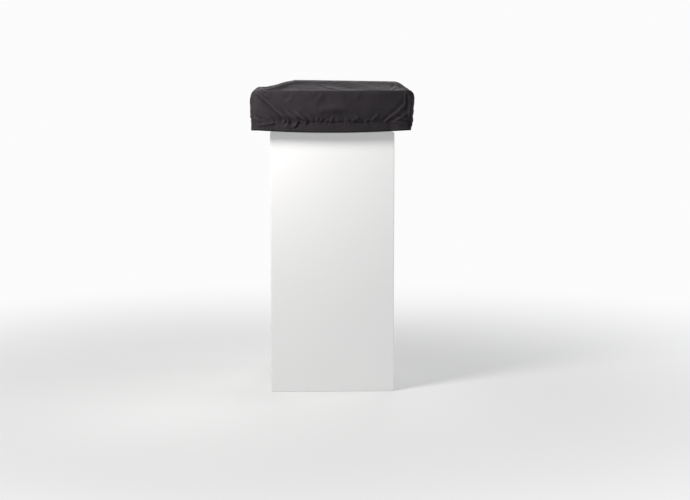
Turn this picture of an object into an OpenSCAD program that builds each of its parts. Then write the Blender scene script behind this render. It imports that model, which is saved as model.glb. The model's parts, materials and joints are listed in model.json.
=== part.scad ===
// Soft-shell fold-out roof top tent, closed and zipped into its travel cover.
// X runs across the vehicle, -X is the hinge side and +X the side the floor opens from.
// Y runs along the vehicle, Z is up, and z = 0 is the tips of the crossbar clamp bolts.

/* [Floor halves] */
// Length of each floor half across the vehicle
floor_length = 1050; // [1000:5:1200]
// Width of the floor along the vehicle
floor_width = 1200; // [1100:5:1400]
// Height of the edge frame of a floor half
frame_height = 30; // [28:1:40]
// Wall of the edge frame
frame_wall = 3; // [2:0.5:4]
// Width of the flanges of the edge frame
frame_flange = 26; // [22:1:36]
// Corner radius of the edge frame
frame_corner = 26; // [20:1:30]
// Free height between the two closed floor halves
stack_gap = 140; // [120:1:180]
// Gap between the two floor halves when they lie open
open_gap = 2; // [1:0.5:6]
// Distance from the floor's ends to the mattress
mattress_inset = 70; // [60:1:120]
// Distance from the floor's free edge to the mattress
mattress_end = 35; // [30:1:100]
// Corner radius of the mattress
mattress_corner = 40; // [20:1:80]

/* [Mounting rails] */
// Distance between the centre lines of the two rails
rail_spacing = 660; // [500:5:800]
// Width of a rail
rail_width = 40; // [34:1:50]
// Height of a rail
rail_height = 25; // [22:1:34]
// Wall of a rail
rail_wall = 3.5; // [3:0.5:5]
// Width of the slot in the underside of a rail
rail_slot = 9; // [8.6:0.1:10]
// Thickness of a rail's end cap
cap_thickness = 4; // [2:0.5:8]
// Depth that the end cap plugs into the rail
cap_plug = 14; // [6:1:18]
// Diameter of the bolts that hold the rails to the floor
rail_bolt = 6; // [5:0.5:8]
// Depth of those bolts in the floor panel
rail_bolt_depth = 10; // [6:1:14]

/* [Crossbar clamps] */
// Distance between the two crossbars that the clamps hold
bar_spacing = 760; // [600:5:880]
// Room for a crossbar between the two bolts of a clamp
bar_room_width = 92; // [60:1:110]
// Room for a crossbar between the rail and the clamp pad
bar_room_height = 32; // [20:1:45]
// Diameter of a clamp bolt
clamp_bolt = 8; // [6:0.5:8.5]
// Side of the square head of a clamp bolt
clamp_head = 16; // [14:0.5:17]
// Thickness of a clamp bolt's head
clamp_head_height = 5.5; // [4:0.5:8]
// Clearance on each side of a clamp bolt's head in the rail
clamp_head_clear = 1; // [0.5:0.1:1.5]
// Thickness of a clamp plate
clamp_plate = 5; // [3:0.5:8]
// Plate beyond the centre of each bolt
clamp_plate_end = 15; // [10:1:25]
// Thickness of a clamp's rubber pad
clamp_pad = 3; // [2:0.5:6]
// Height of a clamp nut
clamp_nut_height = 7; // [5:0.5:10]
// Width of a clamp nut across its flats
clamp_nut = 13; // [11:1:17]
// Bolt standing out below the nut
clamp_bolt_tip = 1; // [0.5:0.5:5]

/* [Floor hinge] */
// Distance from the floor's ends to the hinges
hinge_inset = 25; // [20:1:26]
// Thickness of a hinge plate
hinge_plate = 3; // [2:0.5:4]
// Gap between the two plates of a hinge
hinge_plate_gap = 0.4; // [0.3:0.1:1]
// Length of a hinge plate along the floor
hinge_plate_length = 100; // [70:5:140]
// Radius of a hinge plate's eye
hinge_eye = 14; // [12:1:16]
// Diameter of a hinge pin
hinge_pin = 10; // [8:0.5:12]
// Diameter of a hinge pin's head
hinge_head = 18; // [15:1:24]
// Thickness of a hinge pin's head
hinge_head_height = 4; // [2:0.5:5]

/* [Canopy hoops] */
// Diameter of a hoop's tube
hoop_tube = 16; // [12:1:20]
// Gap between neighbouring hoops
hoop_gap = 2; // [1:0.5:6]
// Distance from the floor's free edge to the outside of the outer hoop
hoop_end_inset = 13; // [12:1:40]
// Bend radius of the outer hoop
hoop_bend = 80; // [70:1:140]
// Width of a hoop's eye along the pin
hoop_eye_width = 14; // [10:1:15]
// Outside diameter of a hoop's eye
hoop_eye = 22; // [18:1:24]

/* [Packed canopy] */
// Number of pleats in the packed canopy wall
canopy_pleats = 7; // [4:1:10]
// Canopy wall inside the edge of the floor
canopy_inside = 8; // [5:1:9]
// Canopy wall outside the edge of the floor
canopy_outside = 5; // [2:0.5:5]
// Depth of a pleat on each side of the wall
canopy_pleat_depth = 3; // [1:0.5:4]
// Distance from the hinge plates to the packed canopy
canopy_start = 11; // [5:1:40]

/* [Ladder] */
// Outside diameter of the largest ladder tube
ladder_tube = 46; // [42:1:50]
// Wall of a ladder tube
ladder_wall = 1.4; // [1:0.1:1.5]
// Radial clearance between two nested tubes
ladder_clear = 0.6; // [0.4:0.1:0.9]
// Distance between the two legs of the ladder
ladder_pitch = 380; // [320:5:440]
// Length of a collar along the ladder
collar_length = 40; // [34:1:44]
// Gap between neighbouring collars
collar_gap = 5; // [2:0.5:10]
// Height and width of a collar
collar_size = 52; // [50:1:56]
// Height of a rung
rung_height = 28; // [22:1:36]
// Wall of a rung, which is a channel open underneath
rung_wall = 2.5; // [2:0.5:4]
// Gap between the closed ladder and the edge frame under it
ladder_lift = 4; // [4:0.5:10]
// Distance from the floor's free edge to the ladder's pivot
pivot_inset = 85; // [70:1:110]
// Distance from the pivot to the nearest collar
pivot_reach = 20; // [18:1:30]
// Diameter of the pivot pin
pivot_pin = 10; // [8:0.5:12]
// Length of the pivot pin outside its brackets
pivot_pin_end = 3; // [1:0.5:8]
// Outside diameter of the ladder's eye on the pivot pin
pivot_eye = 24; // [20:1:28]
// Width of the ladder's eye along the pin
pivot_eye_width = 14; // [10:1:20]
// Length of the largest tube below its collar
ladder_leg = 405; // [340:5:430]
// Thickness of a foot's rubber under the tube's end
foot_sole = 13; // [8:1:20]
// Depth of a foot's sleeve over the tube
foot_sleeve = 22; // [15:1:40]
// Thickness of a foot's sleeve
foot_wall = 3; // [2:0.5:3]
// Thickness of a ladder bracket
bracket_plate = 6; // [4:0.5:8]
// Length of a ladder bracket's base on the edge frame
bracket_base = 16; // [12:1:18]
// Thickness of a ladder bracket's base
bracket_foot = 4; // [3:0.5:5]
// Width of a ladder bracket's base, across the ladder
bracket_width = 18; // [16:1:30]
// Width of a thumb button across the ladder
button_width = 16; // [10:1:20]
// Length of a thumb button along the ladder
button_length = 12; // [8:1:18]
// Height that a thumb button stands out of the rung
button_proud = 5; // [2:0.5:6]
// Depth of the slot that a thumb button slides in
button_depth = 6; // [4:0.5:10]
// Travel of a thumb button
button_travel = 8; // [4:0.5:12]
// Length of a ladder rest
rest_length = 40; // [20:1:60]
// Width of a ladder rest
rest_width = 36; // [24:1:44]
// Distance from the foot sleeve to the ladder rest
rest_offset = 40; // [10:5:80]

/* [Closing straps] */
// Distance between the two closing straps
strap_spacing = 700; // [400:10:900]
// Width of a strap's webbing
strap_width = 25; // [20:1:40]
// Thickness of a strap's webbing
strap_thickness = 2; // [1.5:0.5:3]
// Stand-off between the floor's edge and the straps
strap_standoff = 6; // [5.5:0.5:7]
// Thickness of a buckle
buckle_depth = 11; // [10:0.5:12]
// Width of a buckle
buckle_width = 32; // [30:1:44]
// Length of a buckle's socket
buckle_socket = 32; // [26:1:40]
// Length of a buckle's tongue grip
buckle_grip = 14; // [10:1:24]
// Thickness of the tongue in the socket
tongue_depth = 4.4; // [3:0.2:5]
// Width of the tongue in the socket
tongue_width = 22; // [18:1:24]
// Length of the tongue in the socket
tongue_length = 22; // [14:1:24]
// Clearance round the tongue in its socket
tongue_clear = 0.8; // [0.5:0.1:1]

/* [Travel cover] */
// Room between the floor's edge and the inside of the cover
cover_room = 19.5; // [19:0.5:40]
// Thickness of the cover's wall
cover_wall = 3; // [2:0.5:5]
// Height from the upper edge frame to the inside of the cover's top edge
cover_head = 8; // [6:1:30]
// Radius of the cover's upright corners
cover_corner = 52; // [40:1:80]
// Radius of the cover's top edge
cover_edge = 38; // [30:1:40]
// Height of the hem above z = 0 at the middle of the two ends
hem_height = 4; // [2:1:30]
// Rise of that hem towards its corners
hem_rise = 16; // [0:1:30]
// Height of the two side hems above the crossbar's path
side_hem_gap = 8; // [4:1:20]
// Height of the gathered line above the lowest hem
gather_height = 56; // [40:1:70]
// Depth of the gathers
gather_depth = 7; // [0:1:12]
// Height of the two slack folds that run down from the top corners
fold_depth = 12; // [0:1:16]
// Width of the two slack folds
fold_width = 34; // [20:1:60]
// Reach of the slack folds along the cover, from its ends
fold_reach = 230; // [150:10:350]
// Room over the ladder at its foot
bump_room_foot = 8; // [3:1:20]
// Room over the ladder at its pivot
bump_room_pivot = 5; // [3:1:20]
// Margin of the raised top round the ladder
bump_margin = 14; // [8:1:30]
// Diameter of the bead sewn along the cover's edge
cover_bead_size = 6.5; // [5:0.1:8]
// Clearance of the bead in its track
cover_bead_clear = 0.25; // [0.2:0.05:0.4]
// Thickness of the flap that joins the bead to the cover
cover_flap = 1.6; // [1:0.1:2]
// Depth of the cover track
track_depth = 14; // [12:0.5:15]
// Height of the cover track
track_height = 16; // [14:0.5:17]
// Distance from the floor's ends to the cover track
track_inset = 34; // [30:1:80]
// Thickness of the zip tape
zip_tape_depth = 2; // [1:0.5:3]
// Width of the zip tape
zip_tape_width = 16; // [12:1:20]
// Length of a zip slider
zip_slider_length = 12; // [8:1:20]
// Thickness of a zip slider
zip_slider_depth = 6; // [4:0.5:8]
// Length of a zip slider's pull
zip_pull = 28; // [15:1:32]

/* [Hidden] */
$fn = 48;
// Clearance between parts that slide or sit in one another
fit = 0.3;
// Radial clearance of a pin in its bore
pin_fit = 0.05;
// Radial clearance of a bolt in its hole
bolt_fit = 0.4;
// Overlength of a cutting tool
cut = 1;

// Number of ladder stages, from the lowest, widest one to the highest
LADDER = [1, 2, 3, 4, 5, 6];
// Canopy hoops from the outermost to the innermost
HOOPS = ["low", "mid", "high"];
// Corners that carry a clamp, with their signs along X and Y
CLAMPS = [
  ["front_left", -1, -1],
  ["front_right", 1, -1],
  ["rear_left", -1, 1],
  ["rear_right", 1, 1]
];

// Heights, from the ground up
clamp_plate_z = clamp_bolt_tip + clamp_nut_height;
clamp_pad_z = clamp_plate_z + clamp_plate;
rail_z = clamp_pad_z + clamp_pad + bar_room_height;
base_z = rail_z + rail_height;
floor_z = base_z + frame_height;
hinge_z = floor_z + stack_gap / 2;
fold_z = floor_z + stack_gap;
top_z = fold_z + frame_height;
hinge_x = -floor_length / 2 - open_gap / 2;
edge_x = floor_length / 2;
edge_y = floor_width / 2;

// Rails and their bolts
rail_cavity = clamp_head + 2 * clamp_head_clear;
rail_cavity_height = rail_height - 2 * rail_wall;
rail_bolt_y = edge_y - frame_flange / 2;
rail_bolt_head = 2 * rail_bolt;
rail_bolt_head_height = 4;

// Room for each mattress between its panel and the hoops
mattress_top = hinge_z - hoop_tube / 2 - 2 * fit;
mattress_height = mattress_top - (floor_z - frame_wall);

// Hinge plates, which stand on the flanges of the edge frames
base_plate_y = edge_y - hinge_inset;
fold_plate_y = base_plate_y + hinge_plate + hinge_plate_gap;
pin_head_y = fold_plate_y + hinge_plate + hinge_plate_gap;
hinge_foot_margin = 4;
hinge_foot_y = edge_y - hinge_foot_margin;
hinge_neck = 6;

// Hoops
hoop_pitch = hoop_tube + hoop_gap;
hoop_half = base_plate_y - hoop_gap - hoop_eye_width / 2;
hoop_reach = edge_x - hoop_end_inset - hoop_tube / 2 - hinge_x;
pin_inner = hoop_half - (len(HOOPS) - 1) * hoop_pitch - hoop_eye_width / 2 - hoop_gap;
pin_ring = 4;

// Ladder
ladder_step = 2 * (ladder_wall + ladder_clear);
ladder_z = top_z + ladder_lift + collar_size / 2;
pivot_x = edge_x - pivot_inset;
collar_pitch = collar_length + collar_gap;
collar_top_x = pivot_x - pivot_reach - collar_length;
foot_x = collar_x(1) - ladder_leg;
tube_end_gap = 8;
panel_top_z = top_z - frame_wall - fit;
button_margin = 14;
button_y = ladder_pitch / 2 - collar_size / 2 - button_margin - button_width;
bracket_y = ladder_pitch / 2 + pivot_eye_width / 2 + 2 * fit;
rest_x = foot_x + foot_sleeve + rest_offset;

// Straps and buckles
strap_x = edge_x + strap_standoff;
tongue_x = strap_x + buckle_depth / 2;
socket_z = hinge_z - buckle_socket;
strap_anchor = 8;
strap_anchor_edge = 2;

// Cover track and zip
track_margin = 2;
track_z = base_z + track_margin + track_height / 2;
bead_x = edge_x + track_depth / 2;
track_bore = cover_bead_size + 2 * cover_bead_clear;
track_slot_room = 1;
track_slot = cover_flap + 2 * cover_bead_clear + track_slot_room;
zip_z = base_z + frame_height / 2;
zip_margin = 5;
zip_end = edge_x - frame_corner - zip_margin;
zip_slider_x = zip_end - zip_slider_length - zip_margin;
zip_pull_width = 8;
zip_pull_depth = 2;

// Cover
cover_x = edge_x + cover_room + cover_wall;
cover_y = edge_y + cover_room + cover_wall;
cover_z = top_z + cover_head + cover_wall;
side_hem = rail_z + side_hem_gap;
bump_left = foot_x - foot_sole - bump_margin;
bump_right = pivot_x + pivot_eye / 2 + bump_margin;
bump_half = ladder_pitch / 2 + collar_size / 2 + bump_margin;
bump_corner = 25;
// Depth of the strip beside the cover's ends in which the slack dies away
slack_margin = 12;
bump_top = ladder_z + max(collar_size, ladder_tube + 2 * foot_wall) / 2;
// Points along the two ends, the two sides and each corner of the cover's rings
COVER_END = 20;
COVER_SIDE = 8;
COVER_ARC = 3;

// Start of a stage's collar along X
function collar_x(stage) = collar_top_x - (len(LADDER) - stage) * collar_pitch;
// Outside diameter of a stage's tubes
function tube_size(stage) = ladder_tube - (stage - 1) * ladder_step;

// A rectangle with round corners, centred on the origin
module rounded_rect(length, width, radius) {
  square([length - 2 * radius, width], center = true);
  square([length, width - 2 * radius], center = true);
  for (sx = [-1, 1], sy = [-1, 1])
    translate([sx * (length / 2 - radius), sy * (width / 2 - radius)]) circle(radius);
}

// A solid that extrudes an outline drawn in X and Z along Y, from y to y + depth
module along_y(y, depth) {
  translate([0, y + depth, 0]) rotate([90, 0, 0]) linear_extrude(depth) children();
}

// A cylinder along Y, from y to y + depth
module rod_y(x, y, z, size, depth) {
  translate([x, y + depth, z]) rotate([90, 0, 0]) cylinder(d = size, h = depth);
}

// A cylinder along X, from x to x + length
module rod_x(x, y, z, size, length) {
  translate([x, y, z]) rotate([0, 90, 0]) cylinder(d = size, h = length);
}

// A box given by its lowest and highest corner
module block(low, high) {
  translate(low) cube(high - low);
}

// A channel section bent round the edge of a floor half
module edge_frame(z) {
  difference() {
    translate([0, 0, z]) linear_extrude(frame_height)
      rounded_rect(floor_length, floor_width, frame_corner);
    translate([0, 0, z - cut]) linear_extrude(frame_height + 2 * cut)
      square([floor_length - 2 * frame_flange, floor_width - 2 * frame_flange], center = true);
    translate([0, 0, z + frame_wall]) linear_extrude(frame_height - 2 * frame_wall)
      rounded_rect(floor_length - 2 * frame_wall, floor_width - 2 * frame_wall,
                   frame_corner - frame_wall);
  }
}

// The sandwich panel held in an edge frame's channel
module floor_panel(z) {
  inset = frame_wall + fit;
  translate([0, 0, z + inset]) linear_extrude(frame_height - 2 * inset)
    rounded_rect(floor_length - 2 * inset, floor_width - 2 * inset, frame_corner - inset);
}

// Something placed at each of the four bolts that hold the rails
module at_rail_bolts() {
  for (sx = [-1, 1], sy = [-1, 1])
    translate([sx * rail_spacing / 2, sy * rail_bolt_y, 0]) children();
}

module rail_bolt_holes(depth) {
  hole = rail_bolt + 2 * bolt_fit;
  at_rail_bolts() translate([0, 0, base_z - rail_wall - cut])
    cylinder(d = hole, h = rail_wall + cut + depth);
}

module base_frame() {
  color("dimgray") difference() {
    edge_frame(base_z);
    rail_bolt_holes(frame_wall + cut);
  }
}

module base_panel() {
  color("silver") difference() {
    floor_panel(base_z);
    rail_bolt_holes(frame_wall + rail_bolt_depth + cut);
  }
}

// A rail with its slot underneath
module rail(side) {
  color("darkgray") difference() {
    translate([side * rail_spacing / 2, 0, rail_z]) along_y(-edge_y, floor_width)
      difference() {
        translate([-rail_width / 2, 0]) square([rail_width, rail_height]);
        translate([-rail_cavity / 2, rail_wall]) square([rail_cavity, rail_cavity_height]);
        translate([-rail_slot / 2, -cut]) square([rail_slot, rail_wall + 2 * cut]);
      }
    rail_bolt_holes(cut);
  }
}

module rail_end_caps() {
  width = rail_cavity - 2 * fit;
  height = rail_cavity_height - rail_bolt_head_height - 4 * fit;
  color("black") for (sx = [-1, 1], sy = [-1, 1])
    translate([sx * rail_spacing / 2, 0, rail_z]) mirror([0, sy < 0 ? 1 : 0, 0]) {
      translate([-rail_width / 2, edge_y, 0]) cube([rail_width, cap_thickness, rail_height]);
      translate([-width / 2, edge_y - cap_plug, rail_wall + fit]) cube([width, cap_plug + cut, height]);
    }
}

module rail_bolts() {
  web_z = base_z - rail_wall;
  color("lightgray") at_rail_bolts() {
    translate([0, 0, web_z - rail_bolt_head_height])
      cylinder(d = rail_bolt_head, h = rail_bolt_head_height);
    translate([0, 0, web_z - rail_bolt_head_height / 2])
      cylinder(d = rail_bolt, h = rail_bolt_head_height / 2 + rail_wall + frame_wall + rail_bolt_depth);
  }
}

// Outline of a hinge plate round the axis, down to its foot when side is -1 and up to it when side is 1
module hinge_outline(side) {
  difference() {
    union() {
      circle(hinge_eye);
      polygon([
        [-hinge_eye, 0],
        [hinge_eye, 0],
        [hinge_plate_length, side * (stack_gap / 2 - hinge_plate)],
        [hinge_plate_length, side * stack_gap / 2],
        [hinge_neck, side * stack_gap / 2]
      ]);
    }
    circle(hinge_pin / 2 + pin_fit);
  }
}

// A pair of hinge plates with their feet on the flange of an edge frame
module hinge_plates(side, plate_y) {
  foot_z = side < 0 ? floor_z : fold_z - hinge_plate;
  for (sy = [-1, 1]) mirror([0, sy < 0 ? 1 : 0, 0]) {
    translate([hinge_x, 0, hinge_z]) along_y(plate_y, hinge_plate) hinge_outline(side);
    block([hinge_x + hinge_neck, plate_y, foot_z],
          [hinge_x + hinge_plate_length, hinge_foot_y, foot_z + hinge_plate]);
  }
}

module base_hinge_plates() {
  color("gray") hinge_plates(-1, base_plate_y);
}

module fold_hinge_plates() {
  color("gray") hinge_plates(1, fold_plate_y);
}

module hinge_pins() {
  color("lightgray") for (sy = [-1, 1]) mirror([0, sy < 0 ? 1 : 0, 0]) {
    rod_y(hinge_x, pin_inner, hinge_z, hinge_pin, pin_head_y + cut - pin_inner);
    rod_y(hinge_x, pin_head_y, hinge_z, hinge_head, hinge_head_height);
    rod_y(hinge_x, pin_inner - pin_ring, hinge_z, hoop_tube, pin_ring);
  }
}

// A foam mattress half, with its underside at z
module mattress(z, height) {
  start = frame_flange + 2 * fit - edge_x;
  length = edge_x - mattress_end - start;
  translate([start + length / 2, 0, z]) linear_extrude(height)
    rounded_rect(length, floor_width - 2 * mattress_inset, mattress_corner);
}

module mattress_base() {
  color("lightsteelblue") mattress(floor_z - frame_wall, mattress_height);
}

module mattress_fold() {
  color("lightsteelblue") mattress(2 * hinge_z - mattress_top, mattress_height);
}

// Plan of the packed canopy wall on three sides of the floor, with its pleat drawn in by depth
module canopy_plan(depth) {
  out = canopy_outside - depth;
  in = canopy_inside - depth;
  intersection() {
    difference() {
      rounded_rect(floor_length + 2 * out, floor_width + 2 * out, frame_corner + out);
      square([floor_length - 2 * in, floor_width - 2 * in], center = true);
    }
    translate([hinge_x + hinge_plate_length + canopy_start, -floor_width])
      square([2 * floor_length, 2 * floor_width]);
  }
}

module canopy_pack() {
  room = stack_gap - 2 * fit;
  step = room / (2 * canopy_pleats);
  color("darkolivegreen") for (i = [0 : 2 * canopy_pleats - 1])
    translate([0, 0, floor_z + fit + i * step]) linear_extrude(step)
      canopy_plan(i % 2 == 0 ? canopy_pleat_depth : 0);
}

module cover_track() {
  length = floor_width - 2 * track_inset;
  color("darkgray") along_y(-length / 2, length) difference() {
    translate([edge_x, track_z - track_height / 2]) square([track_depth, track_height]);
    translate([bead_x, track_z]) circle(d = track_bore);
    translate([bead_x, track_z - track_slot / 2]) square([track_depth, track_slot]);
  }
}

module cover_bead() {
  length = floor_width - 2 * track_inset;
  color("black") {
    rod_y(bead_x, -length / 2, track_z, cover_bead_size, length);
    block([bead_x, -length / 2, track_z - cover_flap / 2],
          [cover_x - cover_wall - fit, length / 2, track_z + cover_flap / 2]);
  }
}

module zip_tapes() {
  color("black") for (sy = [-1, 1]) mirror([0, sy < 0 ? 1 : 0, 0])
    block([-zip_end, edge_y, zip_z - zip_tape_width / 2],
          [zip_end, edge_y + zip_tape_depth, zip_z + zip_tape_width / 2]);
}

// A zip slider on the front or rear tape, with its pull hanging down
module zip_slider(sy) {
  inner = edge_y + zip_tape_depth + fit;
  color("dimgray") mirror([0, sy < 0 ? 1 : 0, 0]) {
    block([zip_slider_x, inner, zip_z - zip_tape_width / 2],
          [zip_slider_x + zip_slider_length, inner + zip_slider_depth, zip_z + zip_tape_width / 2]);
    block([zip_slider_x + (zip_slider_length - zip_pull_width) / 2,
           inner + zip_slider_depth - zip_pull_depth, zip_z - zip_tape_width / 2 - zip_pull],
          [zip_slider_x + (zip_slider_length + zip_pull_width) / 2,
           inner + zip_slider_depth, zip_z - zip_tape_width / 2]);
  }
}

// Something placed at each closing strap
module at_straps() {
  for (sy = [-1, 1]) translate([0, sy * strap_spacing / 2, 0]) children();
}

// A strap's webbing with the stand-off that joins it to the floor's edge
module strap(anchor_low, anchor_high, low, high) {
  half = strap_width / 2;
  block([edge_x, -half, anchor_low], [strap_x, half, anchor_high]);
  block([strap_x, -half, low], [strap_x + strap_thickness, half, high]);
}

module strap_lower() {
  high = floor_z - strap_anchor_edge;
  color("black") at_straps() strap(high - strap_anchor, high, high - strap_anchor, socket_z);
}

module strap_upper() {
  low = fold_z + strap_anchor;
  color("black") at_straps() strap(low, low + strap_anchor, hinge_z + buckle_grip + fit, low + strap_anchor);
}

module buckle_sockets() {
  slot = [tongue_depth, tongue_width, tongue_length] + 2 * tongue_clear * [1, 1, 1];
  color("black") at_straps() difference() {
    block([strap_x, -buckle_width / 2, socket_z], [strap_x + buckle_depth, buckle_width / 2, hinge_z]);
    block([tongue_x - slot[0] / 2, -slot[1] / 2, hinge_z - slot[2]],
          [tongue_x + slot[0] / 2, slot[1] / 2, hinge_z + cut]);
  }
}

module buckle_tongues() {
  color("black") at_straps() {
    block([strap_x, -buckle_width / 2, hinge_z + fit],
          [strap_x + buckle_depth, buckle_width / 2, hinge_z + fit + buckle_grip]);
    block([tongue_x - tongue_depth / 2, -tongue_width / 2, hinge_z - tongue_length],
          [tongue_x + tongue_depth / 2, tongue_width / 2, hinge_z + fit + cut]);
  }
}

module fold_frame() {
  color("dimgray") edge_frame(fold_z);
}

module fold_panel() {
  color("silver") floor_panel(fold_z);
}

// A canopy hoop that turns on the hinge pins, nested inside the hoops before it
module hoop(index) {
  half = hoop_half - index * hoop_pitch;
  reach = hoop_reach - index * hoop_pitch;
  bend = hoop_bend - index * hoop_pitch;
  bore = hinge_pin + 2 * pin_fit;
  color("lightgray") translate([hinge_x, 0, hinge_z]) difference() {
    union() {
      for (sy = [-1, 1]) {
        rod_x(0, sy * half, 0, hoop_tube, reach - bend);
        rod_y(0, sy * half - hoop_eye_width / 2, 0, hoop_eye, hoop_eye_width);
        translate([reach - bend, sy * (half - bend), 0]) rotate([0, 0, sy < 0 ? -90 : 0])
          rotate_extrude(angle = 90) translate([bend, 0]) circle(d = hoop_tube);
      }
      rod_y(reach, bend - half, 0, hoop_tube, 2 * (half - bend));
    }
    for (sy = [-1, 1]) rod_y(0, sy * half - hoop_eye, 0, bore, 2 * hoop_eye);
  }
}

module ladder_brackets() {
  rise = ladder_z - top_z;
  eye = pivot_eye / 2;
  base_start = pivot_inset - frame_flange;
  color("dimgray") for (sy = [-1, 1]) mirror([0, sy < 0 ? 1 : 0, 0])
    translate([pivot_x, 0, top_z]) {
      along_y(bracket_y, bracket_plate) difference() {
        union() {
          translate([0, rise]) circle(eye);
          polygon([
            [-eye, rise],
            [eye, rise],
            [base_start + bracket_base, bracket_foot],
            [base_start + bracket_base, 0],
            [base_start, 0]
          ]);
        }
        translate([0, rise]) circle(pivot_pin / 2 + pin_fit);
      }
      block([base_start, bracket_y, 0],
            [base_start + bracket_base, bracket_y + bracket_width, bracket_foot]);
    }
}

module ladder_pin() {
  half = bracket_y + bracket_plate + pivot_pin_end;
  color("lightgray") rod_y(pivot_x, -half, ladder_z, pivot_pin, 2 * half);
}

module ladder_rests() {
  groove = ladder_tube + 2 * fit;
  color("black") for (sy = [-1, 1]) difference() {
    block([rest_x, sy * ladder_pitch / 2 - rest_width / 2, panel_top_z],
          [rest_x + rest_length, sy * ladder_pitch / 2 + rest_width / 2, ladder_z - ladder_tube / 4]);
    rod_x(rest_x - cut, sy * ladder_pitch / 2, ladder_z, groove, rest_length + 2 * cut);
  }
}

// One stage of the ladder: two legs, their collars and the rung between them
module ladder_stage(stage) {
  start = collar_x(stage);
  middle = start + collar_length / 2;
  size = tube_size(stage);
  rung_half = ladder_pitch / 2 - collar_size / 2 - rung_wall;
  lower = stage == 1 ? foot_x : foot_x + tube_end_gap;
  top = len(LADDER);
  color("silver") difference() {
    union() {
      for (sy = [-1, 1]) {
        rod_x(lower, sy * ladder_pitch / 2, ladder_z, size, middle - lower);
        block([start, sy * ladder_pitch / 2 - collar_size / 2, ladder_z - collar_size / 2],
              [start + collar_length, sy * ladder_pitch / 2 + collar_size / 2,
               ladder_z + collar_size / 2]);
        if (stage == top) ladder_eye(sy, start + collar_length);
      }
      block([start + fit, -ladder_pitch / 2, ladder_z - rung_height / 2],
            [start + collar_length - fit, ladder_pitch / 2, ladder_z + rung_height / 2]);
    }
    for (sy = [-1, 1]) {
      rod_x(lower - cut, sy * ladder_pitch / 2, ladder_z, size - 2 * ladder_wall,
            start + (stage == top ? 0 : collar_length + 2 * cut) - lower + cut);
      if (stage == top)
        rod_y(pivot_x, sy * ladder_pitch / 2 - pivot_eye_width, ladder_z, pivot_pin + 2 * pin_fit,
              2 * pivot_eye_width);
      if (stage == 1) button_slot(sy, middle);
    }
    block([start + fit + rung_wall, -rung_half, ladder_z - rung_height / 2 - cut],
          [start + collar_length - fit - rung_wall, rung_half,
           ladder_z + rung_height / 2 - button_depth - rung_wall]);
  }
}

// The eye that carries the top stage on the pivot pin
module ladder_eye(sy, start) {
  y = sy * ladder_pitch / 2 - pivot_eye_width / 2;
  rod_y(pivot_x, y, ladder_z, pivot_eye, pivot_eye_width);
  block([start - cut, y, ladder_z - pivot_eye / 2],
        [pivot_x, y + pivot_eye_width, ladder_z + pivot_eye / 2]);
}

// The slot in the lowest rung that a thumb button slides along
module button_slot(sy, middle) {
  far = button_y + button_width + fit;
  near = button_y - button_travel - fit;
  half = button_length / 2 + fit;
  mirror([0, sy < 0 ? 1 : 0, 0])
    block([middle - half, near, ladder_z + rung_height / 2 - button_depth],
          [middle + half, far, ladder_z + rung_height / 2 + cut]);
}

module ladder_button(sy) {
  middle = collar_x(1) + collar_length / 2;
  high = ladder_z + rung_height / 2;
  half = button_length / 2;
  color("firebrick") mirror([0, sy < 0 ? 1 : 0, 0])
    block([middle - half, button_y, high - button_depth + fit],
          [middle + half, button_y + button_width, high + button_proud]);
}

module ladder_feet() {
  sleeve = ladder_tube + 2 * fit;
  color("black") for (sy = [-1, 1]) difference() {
    rod_x(foot_x - foot_sole, sy * ladder_pitch / 2, ladder_z, ladder_tube + 2 * foot_wall,
          foot_sole + foot_sleeve);
    rod_x(foot_x, sy * ladder_pitch / 2, ladder_z, sleeve, foot_sleeve + cut);
  }
}

// Points from p to q, without q
function run(p, q, count) = [for (i = [0 : count - 1]) p + (q - p) * i / count];
// Points of a quarter circle round a centre, without its end
function quarter(c, r, from, count) =
  [for (i = [0 : count - 1]) c + r * [cos(from + 90 * i / count), sin(from + 90 * i / count)]];
// A ring round the cover, from its front left corner: a rectangle with round corners about [cx, 0]
function cover_ring(cx, hx, hy, r) = [for (p = concat(
  run([-hx + r, -hy], [hx - r, -hy], COVER_END), quarter([hx - r, -hy + r], r, -90, COVER_ARC),
  run([hx, -hy + r], [hx, hy - r], COVER_SIDE), quarter([hx - r, hy - r], r, 0, COVER_ARC),
  run([hx - r, hy], [-hx + r, hy], COVER_END), quarter([-hx + r, hy - r], r, 90, COVER_ARC),
  run([-hx, hy - r], [-hx, -hy + r], COVER_SIDE), quarter([-hx + r, -hy + r], r, 180, COVER_ARC)
)) p + [cx, 0]];

function smooth(t) = let (u = min(1, max(0, t))) u * u * (3 - 2 * u);
// Height of the cover's hem at a point of its lowest ring
function hem_z(p) = let (end = smooth((abs(p.y) - cover_y + cover_corner) / cover_corner))
  end * (hem_height + hem_rise * pow(p.x / cover_x, 2)) + (1 - end) * side_hem;
// Height of the raised top along X
function bump_z(x) = bump_top + bump_room_foot
  + (bump_room_pivot - bump_room_foot) * min(1, max(0, (x - bump_left) / (bump_right - bump_left)));

// Distance from a point to the line of a slack fold on the cover's ends, in X and Z
function fold_line(x, z) = let (
  top = [cover_x - cover_corner, cover_z - cover_edge],
  foot = [cover_x - fold_reach, hem_height + gather_height],
  along = (foot - top) / norm(foot - top),
  d = [abs(x), z] - top
) abs(d.x * along.y - d.y * along.x);
// How far the cloth stands out at a point of the cover's walls
function slack(p, z, i) = let (
  end = smooth((abs(p.y) - cover_y + slack_margin) / slack_margin),
  fold = fold_depth * exp(-pow(fold_line(p.x, z) / fold_width, 2)),
  gather = (i % 2) * gather_depth * exp(-pow((z - hem_height - gather_height) / fold_width, 2))
) end * max(fold, gather);

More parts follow.
